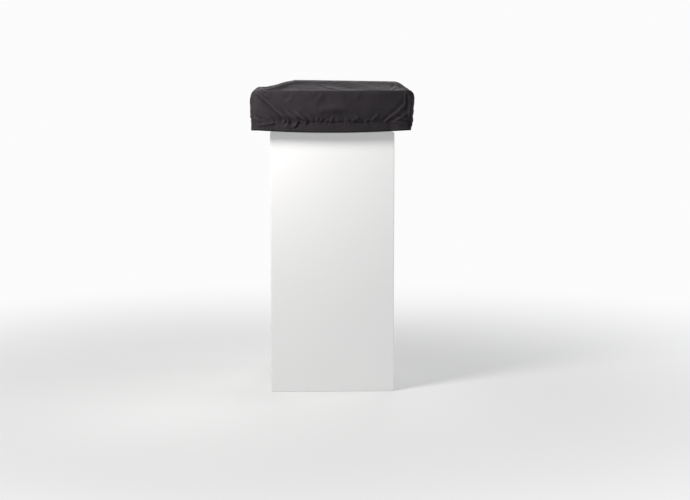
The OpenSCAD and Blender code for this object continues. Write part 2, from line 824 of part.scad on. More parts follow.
// A ring of the cover's outer wall at height z, standing out by its slack
function wall_ring(z, out, flat) = let (
  ring = cover_ring(0, cover_x, cover_y, cover_corner)
) [for (i = [0 : len(ring) - 1]) let (
    p = ring[i],
    s = flat ? 0 : slack(p, z, i),
    low = hem_z(p)
  ) [p.x * (1 - out / cover_x), p.y * (1 - out / cover_y) + sign(p.y) * s, max(z, low)]];
// A ring of the cover's rounded top edge, at an angle from the wall to the top
function edge_ring(angle, out) = let (
  inset = out + (cover_edge - out) * (1 - cos(angle)),
  z = cover_z - cover_edge + (cover_edge - out) * sin(angle)
) [for (p = cover_ring(0, cover_x - inset, cover_y - inset, cover_corner - inset * 0.75)) [p.x, p.y, z]];
// The ring round the raised top over the ladder
function bump_ring(out) = [for (p = cover_ring((bump_left + bump_right) / 2,
  (bump_right - bump_left) / 2, bump_half, bump_corner)) [p.x, p.y, bump_z(p.x) + cover_wall - out]];
function between(a, b, t) = [for (i = [0 : len(a) - 1]) a[i] + (b[i] - a[i]) * t];

module cover_shell() {
  wall_levels = [0, gather_height + hem_height, 110, 155, 200, cover_z - cover_edge];
  outer_edge = edge_ring(90, 0);
  outer = concat(
    [for (z = wall_levels) wall_ring(z, 0, false)],
    [for (a = [30, 60]) edge_ring(a, 0)],
    [outer_edge, between(outer_edge, bump_ring(0), 0.5), bump_ring(0)]
  );
  inner = concat(
    [wall_ring(0, cover_wall, true), wall_ring(cover_z - cover_edge, cover_wall, true)],
    [for (a = [30, 60, 90]) edge_ring(a, cover_wall)],
    [bump_ring(cover_wall)]
  );
  count = len(outer_edge);
  middle = (bump_left + bump_right) / 2;
  rings = concat(outer, inner);
  points = concat([for (ring = rings) each ring],
                  [[middle, 0, bump_z(middle) + cover_wall], [middle, 0, bump_z(middle)]]);
  pole = len(rings) * count;
  last_outer = len(outer) - 1;
  last_inner = len(rings) - 1;
  // Corner numbers of ring j at point i
  function at(j, i) = j * count + i % count;
  faces = concat(
    [for (j = [0 : last_outer - 1], i = [0 : count - 1])
      each [[at(j, i), at(j + 1, i), at(j + 1, i + 1)], [at(j, i), at(j + 1, i + 1), at(j, i + 1)]]],
    [for (j = [len(outer) : last_inner - 1], i = [0 : count - 1])
      each [[at(j, i), at(j, i + 1), at(j + 1, i + 1)], [at(j, i), at(j + 1, i + 1), at(j + 1, i)]]],
    [for (i = [0 : count - 1]) [at(last_outer, i), pole, at(last_outer, i + 1)]],
    [for (i = [0 : count - 1]) [at(last_inner, i), at(last_inner, i + 1), pole + 1]],
    [for (i = [0 : count - 1]) each [
      [at(0, i), at(0, i + 1), at(len(outer), i + 1)],
      [at(0, i), at(len(outer), i + 1), at(len(outer), i)]
    ]]
  );
  color("#343236") polyhedron(points, faces);
}

// Something placed at both bolts of a clamp
module at_clamp_bolts(c) {
  for (s = [-1, 1])
    translate([c[1] * rail_spacing / 2,
               c[2] * bar_spacing / 2 + s * (bar_room_width + clamp_bolt) / 2, 0]) children();
}

module clamp_bolts(c) {
  color("lightgray") at_clamp_bolts(c) {
    cylinder(d = clamp_bolt, h = rail_z + rail_wall + cut);
    translate([-clamp_head / 2, -clamp_head / 2, rail_z + rail_wall])
      cube([clamp_head, clamp_head, clamp_head_height]);
  }
}

module clamp_plate(c) {
  half = (bar_room_width + clamp_bolt) / 2 + clamp_plate_end;
  color("dimgray") difference() {
    translate([c[1] * rail_spacing / 2, c[2] * bar_spacing / 2, clamp_plate_z])
      linear_extrude(clamp_plate) square([rail_width, 2 * half], center = true);
    at_clamp_bolts(c) cylinder(d = clamp_bolt + 2 * bolt_fit, h = rail_z);
  }
}

module clamp_pad(c) {
  color("black") translate([c[1] * rail_spacing / 2, c[2] * bar_spacing / 2, clamp_pad_z])
    linear_extrude(clamp_pad) square([rail_width, bar_room_width - 2 * bolt_fit], center = true);
}

module clamp_nuts(c) {
  color("lightgray") at_clamp_bolts(c) difference() {
    translate([0, 0, clamp_bolt_tip])
      cylinder(d = clamp_nut / cos(30), h = clamp_nut_height, $fn = 6);
    cylinder(d = clamp_bolt + 2 * bolt_fit, h = rail_z);
  }
}

base_frame();
base_panel();
rail(-1);  // rail_left
rail(1);  // rail_right
rail_end_caps();
rail_bolts();
base_hinge_plates();
hinge_pins();
mattress_base();
canopy_pack();
cover_track();
zip_tapes();
strap_lower();
buckle_sockets();
fold_frame();
fold_panel();
fold_hinge_plates();
mattress_fold();
ladder_brackets();
ladder_pin();
ladder_rests();
strap_upper();
buckle_tongues();
for (i = [0 : len(HOOPS) - 1]) hoop(i);
for (s = LADDER) ladder_stage(s);
ladder_feet();
ladder_button(-1);  // ladder_button_front
ladder_button(1);  // ladder_button_rear
cover_shell();
cover_bead();
zip_slider(-1);  // zip_slider_front
zip_slider(1);  // zip_slider_rear
for (c = CLAMPS) clamp_bolts(c);
for (c = CLAMPS) clamp_plate(c);
for (c = CLAMPS) clamp_pad(c);
for (c = CLAMPS) clamp_nuts(c);
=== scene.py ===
import json
import math

import bmesh
import bpy
import numpy as np
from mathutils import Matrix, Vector
from mathutils.bvhtree import BVHTree


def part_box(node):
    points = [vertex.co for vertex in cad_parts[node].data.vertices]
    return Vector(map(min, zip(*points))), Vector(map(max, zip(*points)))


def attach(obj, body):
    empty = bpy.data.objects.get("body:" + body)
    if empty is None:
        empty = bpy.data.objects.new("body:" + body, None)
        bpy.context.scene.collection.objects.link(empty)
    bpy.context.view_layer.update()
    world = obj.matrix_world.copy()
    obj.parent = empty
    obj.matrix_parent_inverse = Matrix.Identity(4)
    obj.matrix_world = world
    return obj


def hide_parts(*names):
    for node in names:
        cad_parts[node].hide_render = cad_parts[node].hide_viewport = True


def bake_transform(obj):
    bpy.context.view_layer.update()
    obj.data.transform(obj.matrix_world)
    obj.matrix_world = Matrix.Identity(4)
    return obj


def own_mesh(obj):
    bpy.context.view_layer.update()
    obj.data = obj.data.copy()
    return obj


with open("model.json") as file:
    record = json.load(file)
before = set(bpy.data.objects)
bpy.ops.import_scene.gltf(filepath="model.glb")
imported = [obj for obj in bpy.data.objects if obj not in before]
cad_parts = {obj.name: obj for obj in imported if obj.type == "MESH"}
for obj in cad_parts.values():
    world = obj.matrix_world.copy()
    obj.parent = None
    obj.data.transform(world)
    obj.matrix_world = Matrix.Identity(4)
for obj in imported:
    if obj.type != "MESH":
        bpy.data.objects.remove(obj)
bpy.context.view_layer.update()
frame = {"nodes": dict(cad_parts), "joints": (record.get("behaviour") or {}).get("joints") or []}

bl_info = {
    "name": "Roof top tent",
    "version": (1, 0, 0),
    "blender": (4, 5, 0),
    "location": "View3D > Sidebar > Roof tent",
    "description": "Dresses the frame of a fold-out roof top tent with its cloth, trim, finishes and stage",
    "category": "Object",
}

# Places on the frame, in metres
ROOF_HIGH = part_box("fold_frame")[1]
FLOOR_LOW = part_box("base_frame")[0]
SHELL_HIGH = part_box("cover_shell")[1]
FEET_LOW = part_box("ladder_feet")[0]
PIVOT_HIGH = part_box("ladder_pin")[1]
CAPS_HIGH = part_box("rail_end_caps")[1]
PACK_LOW, PACK_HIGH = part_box("canopy_pack")
BEAD_LOW, BEAD_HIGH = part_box("cover_bead")
TAPE_LOW, TAPE_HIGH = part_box("zip_tapes")
TRACK_LOW, TRACK_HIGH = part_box("cover_track")
HINGE = next(j["pos_m"] for j in frame["joints"] if j["name"] == "fold")
COVER_AXIS = next(j["pos_m"] for j in frame["joints"] if j["name"] == "cover_flip")
COVER_HALF_X = SHELL_HIGH.x
COVER_HALF_Y = ROOF_HIGH.y + SHELL_HIGH.x - ROOF_HIGH.x
# Ladder: half the distance between its legs, height of its axis, and number of its stages
LEG_Y, LEG_Z = 0.19, 0.303
LADDER_STAGES = 6


# Settings

def length_setting(name, description, default):
    return bpy.props.FloatProperty(
        name=name, description=description, default=default, unit="LENGTH", precision=4)


def colour_setting(name, description, default):
    return bpy.props.FloatVectorProperty(
        name=name, description=description, default=default, size=3, min=0, max=1, subtype="COLOR")


class CoverSettings(bpy.types.PropertyGroup):
    """Travel cover"""
    colour: colour_setting("Colour", "Coated cloth of the cover", (0.0262, 0.0230, 0.0262))
    binding: colour_setting("Binding", "Hem binding", (0.0155, 0.0138, 0.0156))
    # Painted highlight: the piping is coloured lighter than the cloth, so that the top edge shows a light
    # line
    piping: colour_setting("Piping", "Piping in the top seam", (0.042, 0.037, 0.042))
    thread: colour_setting("Thread", "Stitches of the cover", (0.034, 0.031, 0.034))
    corner: length_setting("Corner radius", "Radius of the upright corners", 0.052)
    side_edge: length_setting("Side edge radius", "Radius of the top edge at the two sides", 0.030)
    end_edge: length_setting("End edge radius", "Radius of the top edge at the two ends", 0.020)
    rim_gap: length_setting("Rim gap", "Height of the cover's top edge over the upper frame", 0.011)
    hem: length_setting("Hem height", "Height of the hem at the middle of the two ends", 0.004)
    hem_rise: length_setting("Hem rise", "Rise of that hem towards the corners", 0.016)
    side_hem: length_setting("Side hem height", "Height of the hem on the two sides", 0.056)
    cinch: length_setting("Gathered line", "Height of the line where the cloth is gathered", 0.068)
    sag: length_setting("Sag", "Sag of the top between the rim and the ladder", 0.009)
    cloth: length_setting("Cloth thickness", "Thickness of the coated cloth", 0.0012)
    stitch_pitch: length_setting("Stitch pitch", "Distance from stitch to stitch", 0.008)


class CanopySettings(bpy.types.PropertyGroup):
    """Packed canopy"""
    colour: colour_setting("Colour", "Canvas of the canopy", (0.235, 0.245, 0.205))
    window: colour_setting("Window", "Insect net of the windows", (0.03, 0.032, 0.03))
    edging: colour_setting("Edging", "Webbing round the windows and the door", (0.05, 0.052, 0.046))
    pleats: bpy.props.IntProperty(
        name="Pleats", description="Pleats of the packed wall", default=7, min=4, max=10)
    outside: length_setting("Outside", "Reach of a pleat outside the floor's edge", 0.0045)
    inside: length_setting("Inside", "Reach of a pleat inside the floor's edge", 0.0075)
    cloth: length_setting("Cloth thickness", "Thickness of the canvas", 0.0006)


class MattressSettings(bpy.types.PropertyGroup):
    """Mattress halves"""
    colour: colour_setting("Colour", "Cover cloth of the mattress", (0.27, 0.30, 0.335))
    piping: colour_setting("Piping", "Piping of the mattress", (0.06, 0.065, 0.075))
    corner: length_setting("Corner radius", "Radius of the mattress's corners", 0.04)
    voxel: length_setting("Voxel", "Grain of the swollen foam shape", 0.012)
    swell: length_setting("Swell", "Most that the filling moves the cloth", 0.007)
    fill: bpy.props.FloatProperty(
        name="Fill", description="How full the mattress is", default=0.7, min=0, max=1, subtype="FACTOR")


class TrimSettings(bpy.types.PropertyGroup):
    """Straps, zips, rivets and ribs"""
    webbing: colour_setting("Webbing", "Closing straps", (0.03, 0.03, 0.031))
    tape: colour_setting("Zip tape", "Cloth tape of the zips", (0.024, 0.024, 0.026))
    tooth_pitch: length_setting("Tooth pitch", "Distance between the teeth of a zip", 0.003)
    rivet_pitch: length_setting("Rivet pitch", "Distance between rivets in the edge frames", 0.11)
    rivet: length_setting("Rivet", "Diameter of a rivet's head", 0.009)
    rib_pitch: length_setting("Rib pitch", "Distance between the ribs of a tread", 0.006)


class StageSettings(bpy.types.PropertyGroup):
    """Floor, light and camera"""
    floor: colour_setting("Floor", "Floor and plinth", (0.80, 0.80, 0.80))
    backdrop: bpy.props.FloatProperty(
        name="Backdrop", description="Level of the pale backdrop", default=0.97, min=0, max=1,
        subtype="FACTOR")
    drop: length_setting("Floor depth", "Depth of the floor below the clamps, where the ladder stands", 1.78)
    distance: length_setting("Camera distance", "Distance from the camera to the front of the cover", 10.60)
    height: length_setting("Camera height", "Height of the camera over the clamps", 0.52)
    aside: length_setting("Camera aside", "Place of the camera along X", -0.25)
    focal: bpy.props.FloatProperty(
        name="Focal length", description="Focal length of the camera", default=82.7, unit="CAMERA")
    pitch: bpy.props.FloatProperty(
        name="Camera pitch", description="Tilt of the camera below the horizon", default=math.radians(7.02),
        subtype="ANGLE")
    turn: bpy.props.FloatProperty(
        name="Camera turn", description="Turn of the camera towards +X", default=math.radians(1.795),
        subtype="ANGLE")


# Meshes

# Corners of a quad in a grid of points, as steps along its row and over to the next row
QUAD = ((0, 0), (1, 0), (1, 1), (0, 1))
PIPING_SIDES = 8
SAME_POINT = 1e-7
TINY = 1e-9


def show(name, mesh, material=None):
    """An object at the origin that shows a mesh."""
    piece = bpy.data.objects.new(name, mesh)
    bpy.context.scene.collection.objects.link(piece)
    if material is not None:
        mesh.materials.clear()
        mesh.materials.append(material)
    return piece


def cloth_mesh(name, points, faces, uvs=None):
    """A smooth mesh from points and faces, with a UV map in metres where one is given for each corner."""
    mesh = bpy.data.meshes.new(name)
    mesh.from_pydata([tuple(p) for p in points], [], faces)
    mesh.polygons.foreach_set("use_smooth", [True] * len(faces))
    if uvs is not None:
        layer = mesh.uv_layers.new(name="cloth")
        layer.data.foreach_set("uv", np.asarray(uvs, np.float32).ravel())
    mesh.update()
    return mesh


def lengths(line):
    """Distance along a line of points, from its start to each of them."""
    return np.concatenate([[0], np.cumsum(np.linalg.norm(np.diff(line, axis=0), axis=1))])


def grid_faces(rows, columns, closed, wrapped=False):
    """Quads over a grid of points: closed joins the ends of its rows, wrapped its last row and its first."""
    steps = columns if closed else columns - 1
    rises = rows if wrapped else rows - 1
    return [tuple((j + rise) % rows * columns + (i + step) % columns for step, rise in QUAD)
            for j in range(rises) for i in range(steps)]


def bar_faces(rows, sides):
    """Faces of a bar whose rings of points are its rows, closed at both ends."""
    ends = [tuple(range(sides)), tuple((rows - 1) * sides + k for k in range(sides))]
    return grid_faces(rows, sides, True) + ends


def thicken(piece, thickness, offset=-1.0):
    """Gives a sheet its thickness."""
    wall = piece.modifiers.new("cloth thickness", "SOLIDIFY")
    wall.thickness = thickness
    wall.offset = offset
    return piece


def tube(name, path, radius, material):
    """A round piping along a closed path of points."""
    along = np.roll(path, -1, 0) - np.roll(path, 1, 0)
    along /= np.linalg.norm(along, axis=1)[:, None]
    side = np.cross(along, (0.0, 0.0, 1.0))
    side /= np.maximum(np.linalg.norm(side, axis=1), TINY)[:, None]
    up = np.cross(side, along)
    turn = 2 * math.pi * np.arange(PIPING_SIDES) / PIPING_SIDES
    ring = np.cos(turn)[None, :, None] * side[:, None] + np.sin(turn)[None, :, None] * up[:, None]
    points = (path[:, None] + radius * ring).reshape(-1, 3)
    mesh = cloth_mesh(name, points, grid_faces(len(path), PIPING_SIDES, True, wrapped=True))
    outward(mesh)
    return show(name, mesh, material)


def outward(mesh):
    """Turns a closed mesh's faces outwards."""
    work = bmesh.new()
    work.from_mesh(mesh)
    bmesh.ops.remove_doubles(work, verts=work.verts, dist=SAME_POINT)
    bmesh.ops.recalc_face_normals(work, faces=work.faces)
    work.to_mesh(mesh)
    work.free()
    mesh.update()


def plain_copy(piece, name):
    """The piece with its modifiers made real, as a plain mesh; the piece itself goes."""
    bpy.context.view_layer.update()
    seen = piece.evaluated_get(bpy.context.evaluated_depsgraph_get())
    mesh = bpy.data.meshes.new_from_object(seen)
    mesh.name = name
    bpy.data.objects.remove(piece)
    return mesh


# Nodes

def add_node(tree, kind, inputs=None, **settings):
    """A node with its settings, and with each input linked to a socket or set to a value."""
    made = tree.nodes.new(kind)
    for key, value in settings.items():
        setattr(made, key, value)
    for key, value in (inputs or {}).items():
        if isinstance(value, bpy.types.NodeSocket):
            tree.links.new(value, made.inputs[key])
        else:
            made.inputs[key].default_value = value
    return made


def made_by(tree, kind, inputs=None, **settings):
    """The first output of a new node."""
    return add_node(tree, kind, inputs, **settings).outputs[0]


def math_node(tree, operation, first, second=0.0):
    return made_by(tree, "ShaderNodeMath", {0: first, 1: second}, operation=operation)


# Rows of like pieces along a path

def row_tree(name, round_shape):
    """Geometry nodes that set small pieces along a path, each turned to face outwards."""
    tree = bpy.data.node_groups.new(name, "GeometryNodeTree")
    for label, kind in (("Path", "Geometry"), ("Pitch", "Float"), ("Size", "Vector"), ("Finish", "Material")):
        tree.interface.new_socket(label, in_out="INPUT", socket_type="NodeSocket" + kind)
    tree.interface.new_socket("Pieces", in_out="OUTPUT", socket_type="NodeSocketGeometry")
    start = tree.nodes.new("NodeGroupInput").outputs
    end = tree.nodes.new("NodeGroupOutput").inputs
    curve = made_by(tree, "GeometryNodeMeshToCurve", {"Mesh": start["Path"]})
    spaced = made_by(tree, "GeometryNodeResampleCurve", {"Curve": curve, "Length": start["Pitch"]},
                     mode="LENGTH")
    facing = made_by(tree, "GeometryNodeInputNamedAttribute", {"Name": "outward"}, data_type="FLOAT_VECTOR")
    stood = made_by(tree, "FunctionNodeAlignRotationToVector", {"Vector": facing}, axis="Z")
    tangent = made_by(tree, "GeometryNodeInputTangent")
    turned = made_by(tree, "FunctionNodeAlignRotationToVector", {"Rotation": stood, "Vector": tangent},
                     axis="X", pivot_axis="Z")
    if round_shape:
        shape = made_by(tree, "GeometryNodeMeshUVSphere", {"Segments": 8, "Rings": 5, "Radius": 0.5})
    else:
        shape = made_by(tree, "GeometryNodeMeshCube", {"Size": (1.0, 1.0, 1.0)})
    placed = made_by(tree, "GeometryNodeInstanceOnPoints",
                     {"Points": spaced, "Instance": shape, "Rotation": turned, "Scale": start["Size"]})
    real = made_by(tree, "GeometryNodeRealizeInstances", {"Geometry": placed})
    shaded = made_by(tree, "GeometryNodeSetShadeSmooth", {"Geometry": real, "Shade Smooth": round_shape})
    finished = made_by(tree, "GeometryNodeSetMaterial", {"Geometry": shaded, "Material": start["Finish"]})
    tree.links.new(finished, end["Pieces"])
    return tree


def straight(start, end, way):
    """A path for a row of pieces from point to point, with the way that they face."""
    return np.array([start, end]), way, False


def laid_row(name, tree, paths, pitch, size, material):
    """Small pieces along paths, each path being its points, the way they face and whether it is closed."""
    points, facing, edges = [], [], []
    for line, faces_to, closed in paths:
        first = len(points)
        points += [tuple(p) for p in line]
        facing += [tuple(p) for p in np.broadcast_to(np.asarray(faces_to, float), (len(line), 3))]
        edges += [(first + i, first + i + 1) for i in range(len(line) - 1)]
        if closed:
            edges.append((first + len(line) - 1, first))
    mesh = bpy.data.meshes.new(name)
    mesh.from_pydata(points, edges, [])
    mark = mesh.attributes.new("outward", "FLOAT_VECTOR", "POINT")
    mark.data.foreach_set("vector", np.asarray(facing, np.float32).ravel())
    holder = show(name + ".path", mesh)
    nodes = holder.modifiers.new("row", "NODES")
    nodes.node_group = tree
    values = {"Pitch": pitch, "Size": size, "Finish": material}
    for socket in tree.interface.items_tree:
        if socket.in_out == "INPUT" and socket.name in values:
            nodes[socket.identifier] = values[socket.name]
    made = plain_copy(holder, name)
    if not made.polygons:
        raise RuntimeError(f"{name} has no pieces along its path")
    return show(name, made)


# Shaders

EFFECTS = {}
# Range that the values of a noise mostly lie in
NOISE = (0.3, 0.7)
# Scale of a metal's drawn lines along X, Y and Z
DRAWN_X, DRAWN_Y, EVEN = (9.0, 420.0, 420.0), (420.0, 9.0, 420.0), (260.0, 260.0, 260.0)
# Ladder's collars: distance from a leg's axis where they start, and half their width with a little room
COLLAR_START, COLLAR_HALF = 0.0236, 0.0265


def effect_group(name, inputs, outputs):
    """A shader node group that takes a place and named values and gives named numbers."""
    group = bpy.data.node_groups.new(name, "ShaderNodeTree")
    group.interface.new_socket("Vector", in_out="INPUT", socket_type="NodeSocketVector")
    for label, value in inputs.items():
        kind = "NodeSocketFloat" if isinstance(value, float) else "NodeSocketVector"
        group.interface.new_socket(label, in_out="INPUT", socket_type=kind).default_value = value
    for label in outputs:
        group.interface.new_socket(label, in_out="OUTPUT", socket_type="NodeSocketFloat")
    return group, group.nodes.new("NodeGroupInput").outputs, group.nodes.new("NodeGroupOutput").inputs


def span(tree, value, low, high, to_low, to_high):
    """A value carried from one range to another."""
    ranges = {"From Min": low, "From Max": high, "To Min": to_low, "To Max": to_high}
    return made_by(tree, "ShaderNodeMapRange", {"Value": value, **ranges})


def weave_effect():
    """Plain weave: threads that pass over and under each other, with uneven yarn."""
    group, start, end = effect_group("Woven cloth", {"Thread": 0.001}, ("Height", "Yarn"))
    turns = math_node(group, "DIVIDE", math.pi, start["Thread"])
    scaled = made_by(group, "ShaderNodeVectorMath", {0: start["Vector"], "Scale": turns}, operation="SCALE")
    split = add_node(group, "ShaderNodeSeparateXYZ", {0: scaled}).outputs
    across = math_node(group, "SINE", split[0])
    along = math_node(group, "SINE", split[1])
    half = math_node(group, "MULTIPLY", math_node(group, "MULTIPLY", across, along), 0.5)
    group.links.new(math_node(group, "ADD", half, 0.5), end["Height"])
    uneven = made_by(group, "ShaderNodeTexNoise", {"Vector": start["Vector"], "Scale": 420.0, "Detail": 3.0})
    group.links.new(uneven, end["Yarn"])
    return group


def mottle_effect():
    """Slow changes of tone over a surface, with a finer grain on top."""
    group, start, end = effect_group(
        "Mottled tone", {"Scale": 6.0, "Low": 0.8, "High": 1.2}, ("Tone", "Grain"))
    slow = made_by(group, "ShaderNodeTexNoise",
                   {"Vector": start["Vector"], "Scale": start["Scale"], "Detail": 4.0, "Roughness": 0.6})
    group.links.new(span(group, slow, *NOISE, start["Low"], start["High"]), end["Tone"])
    grain = made_by(group, "ShaderNodeTexNoise", {"Vector": start["Vector"], "Scale": 900.0, "Detail": 2.0})
    group.links.new(grain, end["Grain"])
    return group


def brushed_effect():
    """Fine lines of a drawn or brushed metal, stretched along one way, and a few scratches."""
    group, start, end = effect_group(
        "Brushed metal", {"Stretch": (8.0, 500.0, 500.0)}, ("Lines", "Scratches"))
    drawn = made_by(group, "ShaderNodeVectorMath", {0: start["Vector"], 1: start["Stretch"]},
                    operation="MULTIPLY")
    lines = made_by(group, "ShaderNodeTexNoise", {"Vector": drawn, "Scale": 1.0, "Detail": 4.0})
    group.links.new(lines, end["Lines"])
    edge = made_by(group, "ShaderNodeTexVoronoi", {"Vector": drawn, "Scale": 0.05},
                   feature="DISTANCE_TO_EDGE")
    group.links.new(span(group, edge, 0.0, 0.02, 1.0, 0.0), end["Scratches"])
    return group


def new_material(name, colour, values=None):
    """A material with one shader, whose plain values are set on its own sockets."""
    material = bpy.data.materials.new(name)
    material.use_nodes = True
    material.diffuse_color = (*colour, 1.0)
    tree = material.node_tree
    shader = tree.nodes["Principled BSDF"]
    shader.inputs["Base Color"].default_value = (*colour, 1.0)
    for key, value in (values or {}).items():
        shader.inputs[key].default_value = value
    return material, tree, shader


def effect(tree, name, place, **values):
    """Outputs of one of the shared effects at a place."""
    return add_node(tree, "ShaderNodeGroup", {"Vector": place, **values}, node_tree=EFFECTS[name]).outputs


def own_place(tree):
    """Place on the piece's own object."""
    return add_node(tree, "ShaderNodeTexCoord").outputs["Object"]


def dress(tree, shader, colour, factors, rough, height, depth):
    """Joins a shader to its colour times changing factors, its changing roughness and its relief."""
    total = factors[0]
    for factor in factors[1:]:
        total = math_node(tree, "MULTIPLY", total, factor)
    tinted = made_by(tree, "ShaderNodeVectorMath", {0: colour, "Scale": total}, operation="SCALE")
    relief = made_by(tree, "ShaderNodeBump", {"Height": height, "Distance": depth, "Strength": 1.0})
    for key, value in (("Base Color", tinted), ("Roughness", rough), ("Normal", relief)):
        tree.links.new(value, shader.inputs[key])


def cloth_material(name, colour, thread, relief, rough, spread=(0.88, 1.12), folds=False, values=None):
    """Woven cloth whose pattern follows its own UV map; with folds, painted shade darkens its colour in the
    grooves of its folds and a painted highlight lightens it on their ridges.
    """
    material, tree, shader = new_material(name, colour, values)
    place = made_by(tree, "ShaderNodeUVMap", uv_map="cloth")
    weave = effect(tree, "weave", place, Thread=thread)
    mottle = effect(tree, "mottle", place, Scale=9.0, Low=spread[0], High=spread[1])
    factors = [mottle["Tone"], span(tree, weave["Yarn"], *NOISE, 0.93, 1.07)]
    if folds:
        # Painted shade and highlight: the cloth is darker where its folds dip and lighter where they stand up
        fold_shade_node = add_node(tree, "ShaderNodeAttribute", attribute_name="painted_fold_shade", attribute_type="GEOMETRY")
        factors.append(span(tree, fold_shade_node.outputs["Fac"], -1.0, 1.0, 0.62, 1.34))
    uneven = span(tree, mottle["Tone"], *spread, rough + 0.05, rough - 0.05)
    dress(tree, shader, colour, factors, uneven, weave["Height"], relief)
    return material


def metal_material(name, colour, rough, stretch, metallic=1.0, relief=0.00006):
    """Drawn, brushed or coated metal on the piece's own place."""
    material, tree, shader = new_material(name, colour, {"Metallic": metallic})
    place = own_place(tree)
    brushed = effect(tree, "brushed", place, Stretch=stretch)
    mottle = effect(tree, "mottle", place, Scale=7.0, Low=0.9, High=1.08)
    factors = [mottle["Tone"], span(tree, brushed["Scratches"], 0.0, 1.0, 1.0, 1.12)]
    uneven = span(tree, brushed["Lines"], 0.25, 0.75, rough - 0.07, rough + 0.08)
    dress(tree, shader, colour, factors, uneven, brushed["Lines"], relief)
    return material


def moulded_material(name, colour, rough, relief=0.00012, tone=(0.9, 1.1)):
    """Moulded plastic, rubber or coated board with a fine grain."""
    material, tree, shader = new_material(name, colour)
    mottle = effect(tree, "mottle", own_place(tree), Scale=14.0, Low=tone[0], High=tone[1])
    uneven = span(tree, mottle["Grain"], *NOISE, rough - 0.05, rough + 0.07)
    dress(tree, shader, colour, [mottle["Tone"]], uneven, mottle["Grain"], relief)
    return material


def knit_material(name, colour):
    """Knitted mattress cloth on the piece's own place."""
    material, tree, shader = new_material(name, colour, {"Sheen Weight": 0.15})
    place = own_place(tree)
    weave = effect(tree, "weave", place, Thread=0.003)
    mottle = effect(tree, "mottle", place, Scale=8.0, Low=0.9, High=1.08)
    factors = [mottle["Tone"], span(tree, weave["Yarn"], *NOISE, 0.9, 1.1)]
    uneven = span(tree, mottle["Grain"], *NOISE, 0.78, 0.9)
    dress(tree, shader, colour, factors, uneven, weave["Height"], 0.0005)
    return material


def ladder_material(name, colour, collar_colour):
    """Brushed tubes with dark moulded collars round the legs."""
    material = metal_material(name, colour, 0.34, DRAWN_X)
    tree = material.node_tree
    shader = tree.nodes["Principled BSDF"]
    split = add_node(tree, "ShaderNodeSeparateXYZ", {0: own_place(tree)}).outputs
    off_leg = math_node(tree, "SUBTRACT", math_node(tree, "ABSOLUTE", split[1]), LEG_Y)
    up = math_node(tree, "SUBTRACT", split[2], LEG_Z)
    squares = [math_node(tree, "MULTIPLY", value, value) for value in (off_leg, up)]
    away = math_node(tree, "SQRT", math_node(tree, "ADD", *squares))
    outside = math_node(tree, "GREATER_THAN", away, COLLAR_START)
    near_leg = math_node(tree, "LESS_THAN", math_node(tree, "ABSOLUTE", off_leg), COLLAR_HALF)
    collar = math_node(tree, "MULTIPLY", outside, near_leg)
    metal = shader.inputs["Base Color"].links[0].from_socket
    # Colour sockets of a mix node share their names with others, so they go by number
    mixed = add_node(tree, "ShaderNodeMix", {0: collar, 6: metal, 7: (*collar_colour, 1.0)}, data_type="RGBA")
    tree.links.new(mixed.outputs[2], shader.inputs["Base Color"])
    tree.links.new(math_node(tree, "SUBTRACT", 1.0, collar), shader.inputs["Metallic"])
    return material


# Travel cover

# Folds on the front of the cover: points (x, z), width, height and the side of the groove beside the ridge
FRONT_FOLDS = (
    ([(-0.512, 0.272), (-0.490, 0.257), (-0.417, 0.192), (-0.335, 0.114), (-0.319, 0.085), (-0.336, 0.060)],
     0.008, 0.0125, -1),
    ([(-0.488, 0.288), (-0.462, 0.260), (-0.410, 0.234)], 0.007, 0.0080, -1),
    ([(-0.372, 0.152), (-0.312, 0.108), (-0.294, 0.084), (-0.305, 0.052), (-0.335, 0.036)], 0.009, 0.0075, 1),
    ([(-0.325, 0.158), (-0.252, 0.099), (-0.234, 0.077), (-0.247, 0.053), (-0.270, 0.040)], 0.010, 0.0080, 1),
    ([(-0.262, 0.150), (-0.191, 0.099), (-0.174, 0.077), (-0.187, 0.050)], 0.009, 0.0065, 1),
    ([(-0.190, 0.132), (-0.131, 0.090), (-0.120, 0.068)], 0.008, 0.0050, 1),
    ([(-0.532, 0.112), (-0.499, 0.092), (-0.474, 0.074)], 0.008, 0.0070, 1),
    ([(-0.505, 0.054), (-0.440, 0.060), (-0.350, 0.072)], 0.009, 0.0034, -1),
    ([(-0.440, 0.118), (-0.400, 0.082), (-0.392, 0.060)], 0.008, 0.0050, 1),
    ([(0.497, 0.206), (0.438, 0.147), (0.377, 0.099), (0.338, 0.066)], 0.009, 0.0066, -1),
    ([(0.512, 0.262), (0.524, 0.205), (0.514, 0.130), (0.530, 0.078)], 0.010, 0.0090, -1),
    ([(0.484, 0.284), (0.486, 0.240), (0.484, 0.196)], 0.006, 0.0035, -1),
    ([(0.520, 0.160), (0.470, 0.112), (0.432, 0.088), (0.398, 0.066)], 0.008, 0.0046, -1),
    ([(0.430, 0.104), (0.481, 0.094), (0.530, 0.084)], 0.007, 0.0062, 1),
    ([(0.375, 0.078), (0.430, 0.070), (0.505, 0.062)], 0.006, 0.0044, 1),
    ([(0.257, 0.178), (0.352, 0.167), (0.472, 0.170)], 0.005, 0.0034, 1),
    ([(-0.260, 0.268), (-0.285, 0.225), (-0.330, 0.190)], 0.013, 0.0030, -1),
    ([(-0.060, 0.272), (-0.090, 0.230), (-0.130, 0.200)], 0.014, 0.0026, -1),
    ([(0.180, 0.270), (0.150, 0.215)], 0.014, 0.0022, 1),
    ([(-0.100, 0.150), (0.010, 0.168), (0.110, 0.158)], 0.020, 0.0035, -1),
)
